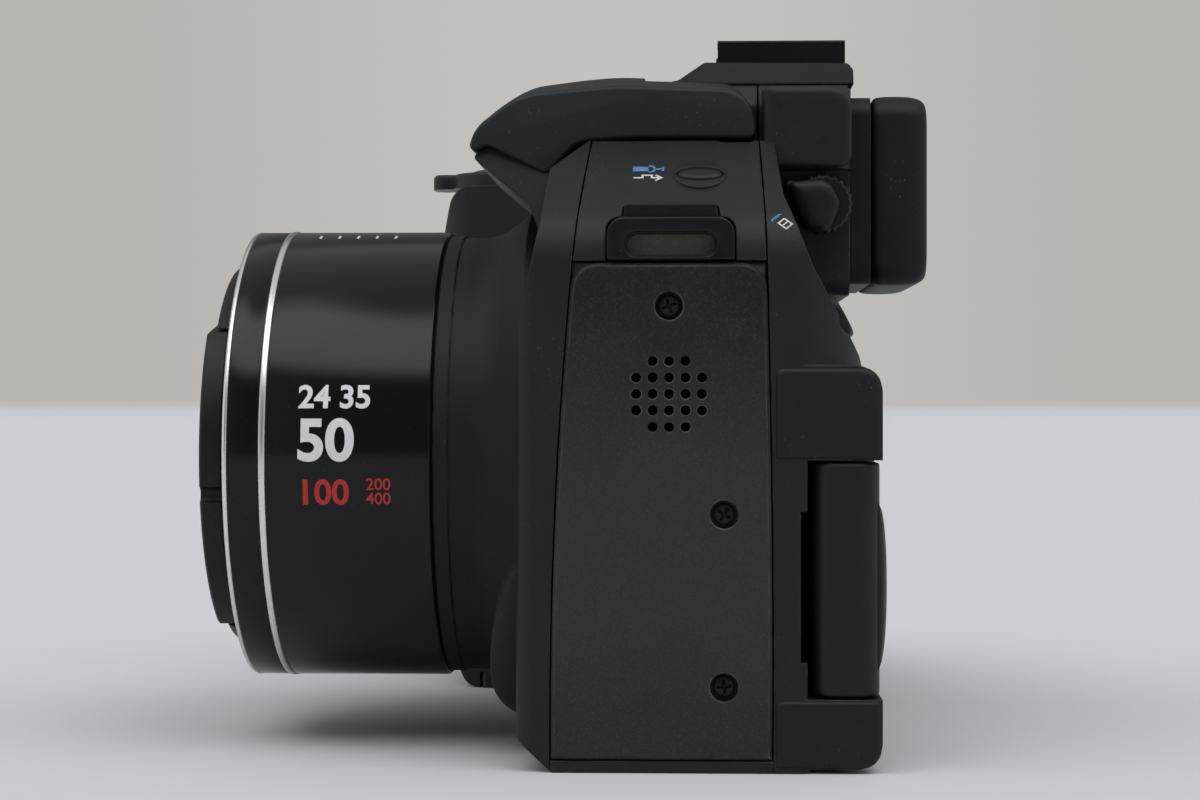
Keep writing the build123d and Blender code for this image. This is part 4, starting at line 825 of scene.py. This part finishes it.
baffle = turned_about_lens("lens_baffle", [
    (21.8, 46.5), (16.9, 46.5), (14.6, 44.5), (14.6, 43.5), (12.2, 41.5), (12.2, 40.5),
    (10.0, 38.5), (10.0, 33.0), (21.8, 33.0),
])
bevelled(baffle, 0.1)
settle(baffle, "zoom_inner", "tube_black", tube_plastic)
element = turned_about_lens("second_lens_element", [
    (0.02, 40.6), (2.45, 40.4875), (4.9, 40.15), (7.35, 39.5875), (9.8, 38.8), (9.8, 37.4),
    (0.02, 37.4),
], closed=False)
settle(element, "zoom_inner", "lens_glass", coated_glass)

# Image sensor: a dark package with a green filter glass, at the back of the chamber.
# It is bonded to a plate that is screwed to the lens unit.
sensor_tones = (4.0, 2.0, (0.02, 0.05, 0.045), (0.03, 0.07, 0.06))
sensor_glass = Finish("sensor_glass", sensor_tones, IOR=1.5, Coat_Weight=1.0)
sensor_glass.vary(Roughness=0.1 + sensor_glass.noise(size=2.0) * 0.1)
dress(sensor_glass, "image_sensor")

# Lens cap: a moulded snap-on disc with two sprung squeeze tabs. A raised ring frames its
# front, and fine ribs on the tabs give the fingers a hold.
cap_plastic = moulded("cap_plastic", (0.0075, 0.0080, 0.0085), 0.42, grain=0.3, dust=0.4, wear=0.4)
dress(cap_plastic, "lens_cap", "cap_tab_left", "cap_tab_right")
cap_ring_rows = [(14.1, 58.2), (14.1, 58.68), (14.6, 58.68), (14.6, 58.2)]
cap_ring = turned_about_lens("cap_ring", cap_ring_rows)
bevelled(cap_ring, 0.08)
settle(cap_ring, "cap", "black_plastic", cap_plastic)
cap_turn = math.radians(-11)
rib_count = 9
rib_step = 1.5
rib_inner = 21.4
rib_outer = 23.6
rib_half = 0.22
rib_sunk = 0.1
rib_lift = 0.22
rib_taper = 0.45
rib_plane = 59.28
for side, body in ((1, "tab_left"), (-1, "tab_right")):
    outward = Vector((side * math.cos(cap_turn), 0, side * math.sin(cap_turn)))
    spot = facing((0, -rib_plane, lens_height), outward, (0, -1, 0))
    for number in range(rib_count):
        across = (number - rib_count // 2) * rib_step
        if across == 0:
            continue
        outer = math.sqrt(rib_outer ** 2 - across ** 2)
        ends = [(rib_inner, -rib_half), (rib_inner, rib_half),
                (outer, rib_half), (outer, -rib_half)]
        foot = [spot @ Vector((x, y + across, -rib_sunk)) for x, y in ends]
        crest = [spot @ Vector((x * 0.998, y * rib_taper + across, rib_lift)) for x, y in ends]
        rib = loft(f"{body}_rib_{number + 1}", [foot, crest])
        bevelled(rib, 0.05)
        settle(rib, body, "black_plastic", cap_plastic)

# Flash head: a moulded hood with two arms that reach back beside the hump, where two
# steel pins hinge it. Its roof is gently crowned and its underside holds the window.
flash_colour = (0.0135, 0.0146, 0.0165)
flash_plastic = moulded("flash_plastic", flash_colour, 0.43, dust=0.35, wear=0.45, soft=0.25)
head_half = 21.45
arm_inner = 16.9
window_half = 13.1
window_room = 1.35
crest_end = -5.7
head_back = 10.0
crest_rise = 3.0
crown_power = 2.2
roof_low = 76.5
roof_high = 81.0
hollow_start = -25.2
hollow_end = -12
hollow_top = 75.0
outline_step = 0.9
flash_crease = 42
head_side = [
    (8.0, 74.9, 0.9), (8.0, 80.75, 4.4), (-9.0, 81.35, 30.0), (-20.9, 80.35, 10.0),
    (-26.2, 76.3, 4.6), (-27.3, 72.9, 0.7), (-24.6, 74.15, 1.2), (-17.3, 70.55, 1.1),
    (-13.6, 74.55, 3.4), (-6.0, 75.0, 8.0),
]


def inset_ring(points, inset):
    """An outline moved inward, each point along the middle of its two sides' normals."""
    moved = []
    for before, point, after in zip(points[-1:] + points, points, points[1:] + points[:1]):
        way = (point - before).normalized() + (after - point).normalized()
        moved.append(point + Vector((-way.y, way.x)).normalized() * inset)
    return moved


def head_ring(x, inset=0.0, back=head_back, room=0.0):
    """The head's side outline at a place along X, with its roof crowned."""
    crown = crest_rise * (1 - (abs(x) / head_half) ** crown_power)
    ring = []
    for y, z in inset_ring(dense_outline, inset):
        share = min(max((z - roof_low) / (roof_high - roof_low), 0), 1)
        lifted = z + crown * share
        if hollow_start < y < hollow_end and z < hollow_top:
            lifted += room
        ring.append((x, min(y, back), lifted))
    return ring


side_outline = rounded_points(head_side, 9)
dense_outline = []
for number, point in enumerate(side_outline):
    nearest = side_outline[number - 1]
    parts = max(1, int((point - nearest).length / outline_step))
    dense_outline += [nearest + (point - nearest) * (part / parts) for part in range(parts)]
edge_steps = [(head_half, 0.5), (head_half - 0.08, 0.27), (head_half - 0.25, 0.08),
              (head_half - 0.5, 0.0)]
for side, label in ((1, "left"), (-1, "right")):
    rows = [head_ring(side * x, inset) for x, inset in edge_steps]
    rows += [head_ring(side * x) for x in (19.6, 18.2, arm_inner)]
    arm = loft(f"flash_arm_{label}", rows, crease=flash_crease)
    settle(arm, "flash", "black_plastic", flash_plastic, "flash_head")
hood_parts = {
    "left": ((arm_inner, 15.0, window_half), 0.0),
    "middle": ((window_half, 10.0, 6.0, 2.0, -2.0, -6.0, -10.0, -window_half), window_room),
    "right": ((-window_half, -15.0, -arm_inner), 0.0),
}
for label, (places, room_up) in hood_parts.items():
    hood = loft(f"flash_hood_{label}", [
        head_ring(x, 0.0, crest_end, room_up) for x in places
    ], crease=flash_crease)
    settle(hood, "flash", "black_plastic", flash_plastic)

steel_tones = (1.0, 4.0, (0.42, 0.42, 0.42), (0.60, 0.60, 0.60))
pin_steel = Finish("pin_steel", steel_tones, Metallic=1.0)
pin_steel.vary(Roughness=0.28 + pin_steel.noise(size=2.0, detail=4.0) * 0.2)
dress(pin_steel, "flash_hinge_pins", "tripod_socket", "terminal_sockets")
rib_scale = 420.0
flash_lens = Finish("flash_lens", IOR=1.49, Transmission_Weight=0.5)
flash_ribs = flash_lens.node(
    "ShaderNodeTexWave", {"Vector": flash_lens.place, "Scale": rib_scale}, "Fac",
    bands_direction="X",
)
flash_lens.vary(
    Base_Color=flash_lens.mixed(flash_ribs, shade((0.62, 0.62, 0.60)), shade((0.80, 0.80, 0.78))),
    Roughness=0.12 + flash_ribs * 0.1,
)
flash_lens.relief(flash_ribs, 0.12)
dress(flash_lens, "flash_window")

# Accessory shoe: a bent steel channel, painted black, with five gold-plated contacts.
# It is screwed down through a plastic plate on top of the hump.
shoe_colour = (0.0022, 0.0022, 0.0023)
shoe_paint = moulded("shoe_paint", shoe_colour, 0.34, grain=0.25, dust=0.3, wear=1.0, soft=0.15)
dress(shoe_paint, "hot_shoe")
dress(moulded("plate_plastic", (0.0042, 0.0046, 0.0050), 0.6, dust=0.3, soft=0.5), "shoe_plate")
gold_tones = (0.6, 3.0, (0.70, 0.47, 0.17), (0.86, 0.62, 0.28))
contact_gold = Finish("contact_gold", gold_tones, Metallic=1.0)
contact_gold.vary(Roughness=0.24 + contact_gold.noise(size=0.8, detail=3.0) * 0.14)
dress(contact_gold, "hot_shoe_contacts")

# Viewfinder: a frame on the rear shell, a clear window, and a soft rubber eyecup.
# The dial beside it focuses the finder; its rim is fluted.
dress(moulded("finder_plastic", (0.0042, 0.0044, 0.0046), 0.5, dust=0.4), "eyepiece_frame")
window_tones = (6.0, 2.0, (0.90, 0.92, 0.93), (0.95, 0.96, 0.96))
window_glass = Finish("window_glass", window_tones, IOR=1.5, Transmission_Weight=1.0)
fingermarks = window_glass.rise(window_glass.noise(size=4.0, detail=4.0), 0.5, 0.9)
window_glass.vary(Roughness=0.02 + fingermarks * 0.05)
dress(window_glass, "eyepiece_lens", "focus_lamp_window")
cup_colour = (0.0046, 0.0049, 0.0049)
cup_rubber = moulded(
    "cup_rubber", cup_colour, 0.52, grain=0.5, depth=0.015, dust=0.7, soft=0.8)
finder_height = 69.1
cup_start = 22.4
cup_end = 29.5


def finder_ring(half_width, half_height, back, corner):
    """A rounded ring of points about the finder's axis."""
    points = rounded_box(-half_width, half_width, -half_height, half_height, [corner] * 4, 8)
    return [(x, back, finder_height + y) for x, y in points]


cup_rows = [
    (13.0, 9.0, cup_start + 0.1, 2.2), (15.3, 11.3, cup_start + 0.05, 2.6),
    (15.75, 11.75, cup_start + 0.7, 3.0), (15.8, 11.8, cup_start + 3.0, 3.1),
    (15.75, 11.75, cup_end - 2.0, 3.2), (15.35, 11.4, cup_end - 0.75, 3.1),
    (14.6, 10.7, cup_end - 0.1, 2.8), (13.6, 9.8, cup_end - 0.15, 2.5),
    (12.9, 9.1, cup_end - 0.9, 2.3), (12.2, 8.4, cup_end - 3.5, 2.1),
    (11.5, 7.7, cup_start + 1.2, 2.0), (11.4, 7.6, cup_start + 0.1, 2.0),
]
cup = loft("finder_cup", [finder_ring(*row) for row in cup_rows], closed=True)
smoothing = cup.modifiers.new("smooth", "SUBSURF")
smoothing.levels = 2
smoothing.render_levels = 2
settle(cup, "body", "soft_rubber", cup_rubber, "eyecup")

lobe_plastic = moulded("lobe_plastic", (0.0105, 0.0110, 0.0118), 0.42, dust=0.3, wear=0.4)
lobe_outline = rounded_box(8.95, 19.6, 71.35, 81.2, (1.0, 1.6, 2.8, 0.8))
lobe_middle = (14.2, 76.2)
lobe_rows = [(1.0, 19.5), (1.004, 21.2), (0.985, 21.75), (0.93, 22.0), (0.8, 22.15), (0.4, 22.3),
             (0.05, 22.33)]
for side, label in ((1, "left"), (-1, "right")):
    rows = [(share, side * x) for share, x in lobe_rows]
    lobe = pillow(f"finder_lobe_{label}", lobe_outline, lobe_middle, rows)
    settle(lobe, "body", "black_plastic", lobe_plastic)
knob_colour = (0.0045, 0.0047, 0.0048)
knob_plastic = moulded("knob_plastic", knob_colour, 0.36, grain=0.3, wear=1.0, soft=0.2)
dial_y = 16.1
dial_z = 66.9
dial_radius = 3.62
dial_flutes = 22
flute_points = 12
flute_depth = 0.2
dial_rows = [(0.3, 21.8), (0.9, 21.8), (0.99, 21.5), (1.0, 21.2), (1.0, 18.9), (0.94, 18.45),
             (0.3, 18.4)]


def fluted_ring(share, x):
    """A fluted ring of the focus dial."""
    ring = []
    turns = dial_flutes * flute_points
    for turn in range(turns):
        angle = math.tau * turn / turns
        groove = flute_depth * (1 - abs(math.cos(angle * dial_flutes / 2)) ** 0.7)
        radius = (dial_radius - groove) * share
        ring.append((x, dial_y + radius * math.cos(angle), dial_z + radius * math.sin(angle)))
    return ring


focus_dial = loft("focus_dial", [fluted_ring(*row) for row in dial_rows], crease=40)
settle(focus_dial, "dioptre", "button_black", knob_plastic, "dioptre_dial")
guard_colour = (0.0075, 0.0078, 0.0080)
guard_plastic = moulded("guard_plastic", guard_colour, 0.42, grain=0.3, dust=0.4)
guard_outline = rounded_points([
    (11.8, 69.5, 0.5), (16.7, 70.0, 2.2), (18.3, 66.9, 1.8), (16.8, 63.3, 1.5), (13.8, 63.7, 1.5),
])
guard_rows = [(1.0, 21.95), (0.985, 22.25), (0.92, 22.6), (0.76, 22.9), (0.45, 23.05), (0.05, 23.1)]
guard = pillow("focus_dial_guard", guard_outline, (15.6, 66.9), guard_rows)
settle(guard, "body", "button_black", guard_plastic)
root_y = 12.3
root_z = 69.05
guard_root = loft("focus_dial_guard_root", [
    [(x, root_y + y, root_z + z) for y, z in oval(0.75, 0.6, 32)] for x in (17.8, 22.1)
])
settle(guard_root, "body", "button_black", guard_plastic)

# Swing-out screen: two plastic halves with the display between them, on a hinge bar.
# Closed, its plain back shows and the display faces the body.
screen_colour = (0.0098, 0.0102, 0.0109)
screen_plastic = moulded("screen_plastic", screen_colour, 0.42, dust=0.3, soft=0.5)
dress(screen_plastic, "lcd_back_cover", "lcd_frame")
bar_plan = rounded_box(26.95, 36.4, 14.25, 22.0, (1.2, 2.4, 2.4, 1.2))
bar_middle = Vector((31.7, 18.1))
bar_rows = [(0.965, 8.92), (0.99, 9.1), (1.0, 9.5), (1.0, 22.0), (1.0, 35.2), (0.99, 35.6),
            (0.965, 35.78)]
bar = loft("hinge_bar", [
    [(*(bar_middle + (point - bar_middle) * share), z) for point in bar_plan]
    for share, z in bar_rows
], crease=45)
settle(bar, "screen_hinge", "black_plastic", screen_plastic, "lcd_hinge_bar")
bulge_steps = 24
bulge_x = 32.4
bulge_half = 2.6
bulge_start = 21.9
bulge_foot = 20.6
bulge_height = 21.5
bulge_reach = 9.6
bulge_swell = 1.05
bulge_power = 2.2
bulge_rings = []
for step in range(bulge_steps + 1):
    share = step / bulge_steps * 2 - 1
    swell = bulge_swell * math.sqrt(max(1 - abs(share) ** bulge_power, 0))
    height = bulge_height + bulge_reach * share
    ring = []
    for turn in range(bulge_steps + 1):
        angle = math.pi * turn / bulge_steps
        ring.append((bulge_x - bulge_half * math.cos(angle),
                     bulge_start + swell * math.sin(angle), height))
    ring.append((bulge_x + bulge_half, bulge_foot, height))
    ring.append((bulge_x - bulge_half, bulge_foot, height))
    bulge_rings.append(ring)
bulge = loft("hinge_bulge", bulge_rings)
settle(bulge, "screen_hinge", "black_plastic", screen_plastic)
tilt_y = 18.1
tilt_z = 22.35
tilt_stub = loft("tilt_shaft", [
    [(x, tilt_y + y, tilt_z + z) for y, z in oval(radius, radius, 48)]
    for x, radius in ((28.0, 2.0), (19.0, 2.0), (18.8, 1.8))
])
settle(tilt_stub, "screen_hinge", "plated_steel", screen_plastic)
# Ears beside the screen: black plastic coloured darker than the shells, as painted shade.
ear_shaded_colour = (0.0085, 0.0090, 0.0099)
ear_shaded_plastic = moulded("ear_shaded_plastic", ear_shaded_colour, 0.46, wear=0.6, soft=0.3)
ear_front = 9.7
ear_back = 22.15
ear_rows = [(1.0, 33.4), (1.0, 35.6), (0.985, 36.3), (0.95, 36.65), (0.88, 36.78)]
ears = [("upper", 36.2, 46.9, (0.3, 0.6, 2.4, 0.9)), ("lower", 0.6, 8.5, (0.3, 2.2, 0.6, 0.9))]
for label, low, high, corners in ears:
    ear_outline = rounded_box(ear_front, ear_back, low, high, corners)
    ear = pillow(f"screen_ear_{label}", ear_outline, (15.9, (low + high) / 2), ear_rows)
    settle(ear, "body", "black_plastic", ear_shaded_plastic)
display_glass = Finish("display_glass", IOR=1.5, Coat_Weight=0.6)
display_dark = shade((0.006, 0.007, 0.009))
display_pale = shade((0.010, 0.011, 0.013))
smears = display_glass.rise(display_glass.noise(size=9.0, detail=6.0), 0.45, 0.85)
display_glass.vary(
    Base_Color=display_glass.mixed(smears, display_dark, display_pale),
    Roughness=0.06 + smears * 0.16,
)
dress(display_glass, "lcd_glass")

# Controls: satin black buttons and dials of moulded plastic, and a dark metal shutter
# release on top of the grip. The shoulder button is a low oval dome in a flush plate.
button_colour = (0.0085, 0.0088, 0.0092)
button_plastic = moulded(
    "button_plastic", button_colour, 0.34, grain=0.25, depth=0.006, dust=0.3, wear=0.8, soft=0.2)
dress(
    button_plastic, "power_button", "shortcut_button", "movie_button", "exposure_lock_button",
    "focus_frame_button", "set_button", "menu_button", "display_button", "control_wheel",
    "mode_dial",
)
dress(moulded("lever_plastic", (0.017, 0.017, 0.0185), 0.42, soft=0.3), "zoom_lever")
shoulder_spot = facing((28.0, 1.2, 69.96), (0, 1, 0), slope_out)
dome_half_width = 2.72
dome_half_height = 1.42
dome_turns = 96
dome_rows = [(0.02, 0.46), (0.3, 0.42), (0.6, 0.34), (0.82, 0.22), (0.94, 0.09), (1.0, -0.05),
             (1.0, -1.6)]
dome_oval = oval(dome_half_width, dome_half_height, dome_turns)
dome = loft("shoulder_dome", [
    [shoulder_spot @ Vector((x * share, y * share, height)) for x, y in dome_oval]
    for share, height in dome_rows
])
settle(dome, "shoulder", "button_black", button_plastic, "shoulder_button")
surround_rings = [oval(3.2, 3.15, dome_turns), oval(2.86, 1.56, dome_turns)]
surround = plate("shoulder_surround", surround_rings, -0.6, 0.05, 0.04, shoulder_spot)
settle(surround, "body", "black_plastic", shell_plastic)
release_tones = (2.0, 4.0, (0.10, 0.10, 0.105), (0.15, 0.15, 0.155))
release_metal = Finish("release_metal", release_tones, Metallic=1.0)
release_metal.vary(Roughness=0.26 + release_metal.noise(size=3.0, detail=4.0) * 0.12)
release_metal.relief(release_metal.noise(size=0.2), 0.004, release_metal.rounded(0.4))
dress(release_metal, "shutter_button")

# Doors, cells, card and sockets: what sits behind the covers of the grip. The two doors
# are of the shells' plastic, the socket cover is soft, and the cells wear a printed film.
dress(shell_plastic, "battery_door", "card_door")
dress(moulded("soft_cover", (0.0080, 0.0082, 0.0085), 0.66, grain=0.5, soft=0.4), "terminal_cover")
cell_film = Finish("cell_film", IOR=1.5)
cell_silver = shade((0.42, 0.44, 0.46))
cell_blue = shade((0.03, 0.10, 0.16))
band_start = 38.0
band_full = 38.4
cell_band = cell_film.rise(cell_film.along("Z"), band_start, band_full)
cell_film.vary(
    Base_Color=cell_film.mixed(cell_band, cell_silver, cell_blue),
    Roughness=0.24 + cell_film.noise(size=4.0, detail=3.0) * 0.12,
)
dress(cell_film, "battery_cells")
dress(moulded("card_plastic", (0.02, 0.035, 0.09), 0.4, grain=0.4, wear=0.2), "memory_card")
dress(screw_steel, "bottom_screws")

# Floor: a pale, smooth table top of painted board. It runs far back, where its edge
# melts into the room.
floor_reach = 60.0
floor_colour = (0.665, 0.678, 0.712)
room_middle = (0.547, 0.540, 0.525)
wall_side_painted_shade = (0.474, 0.455, 0.434)
melt_start = 3.5
melt_end = 22.0
floor_mesh = bmesh.new()
bmesh.ops.create_grid(floor_mesh, x_segments=2, y_segments=2, size=floor_reach / millimetre)
floor = piece("floor", floor_mesh)
table_top = Finish("table_top")
spread = table_top.node("ShaderNodeVectorMath", {0: table_top.place}, "Value", operation="LENGTH")
table_top.vary(
    Base_Color=table_top.mixed(
        table_top.rise(spread, melt_start, melt_end), shade(floor_colour), shade(room_middle)),
    Roughness=0.62 + table_top.noise(size=40.0, detail=3.0) * 0.1,
)
floor.data.materials.append(table_top.material)

# Light: a broad, soft band of light, high on the side that the camera looks from, in
# a plain room with paler walls to the left and right. The camera sees the pale wall.
band_low = (0.60, 0.74)
band_high = (0.93, 0.99)
band_side = (-0.12, 0.25)
band_light = 2.75
ceiling_light = 0.55
room_dark = 0.14
room_pale = 0.85
lamp_tint = (1, 1, 1.02)
wall_middle = 0.03
wall_fade = 0.24
room = bpy.data.worlds.new("room")
bpy.context.scene.world = room
light = Graph(room)
light.tree.nodes.clear()
direction = light.node("ShaderNodeTexCoord", output="Generated")
toward, sideways, upward = [
    light.node("ShaderNodeSeparateXYZ", {0: direction}, axis) for axis in "XYZ"
]
walls = light.mixed(sideways * sideways, shade((1, 1, 1), room_dark), shade((1, 1, 1), room_pale))
above = light.rise(upward, *band_low)
over = light.mixed(above, walls, shade(lamp_tint, ceiling_light))
band = above * (1 - light.rise(upward, *band_high)) * light.rise(toward, *band_side)
given = light.mixed(band, over, shade(lamp_tint, band_light))
# Painted shade on the wall that the camera sees: it darkens from room_middle towards the left and
# right.
off_middle = light.node("ShaderNodeMath", {0: sideways + wall_middle}, operation="ABSOLUTE")
wall = light.mixed(light.rise(off_middle, 0.0, wall_fade), shade(room_middle), shade(wall_side_painted_shade))
straight = light.node("ShaderNodeLightPath", output="Is Camera Ray")
through = light.node("ShaderNodeLightPath", output="Is Transmission Ray")
backdrop = light.mixed(straight + through, given, wall)
sky = light.node("ShaderNodeBackground", {"Color": backdrop})
light.node("ShaderNodeOutputWorld", {"Surface": sky})

# Camera: level with the lens and 285 mm from the side panel, where the photographer
# stood. Its lens gives the photograph's angle of view.
eye = Vector((0.322, 0.0, 0.0431))
aim = Vector((0.0, -0.0117, 0.0431))
camera_data = bpy.data.cameras.new("camera")
camera_data.lens = 74.2
camera_data.sensor_width = 36.0
camera_data.clip_start = 0.01
camera = bpy.data.objects.new("camera", camera_data)
camera.location = eye
camera.rotation_euler = (aim - eye).to_track_quat("-Z", "Y").to_euler()
bpy.context.scene.collection.objects.link(camera)
bpy.context.scene.camera = camera
bpy.context.scene.view_settings.view_transform = "Standard"
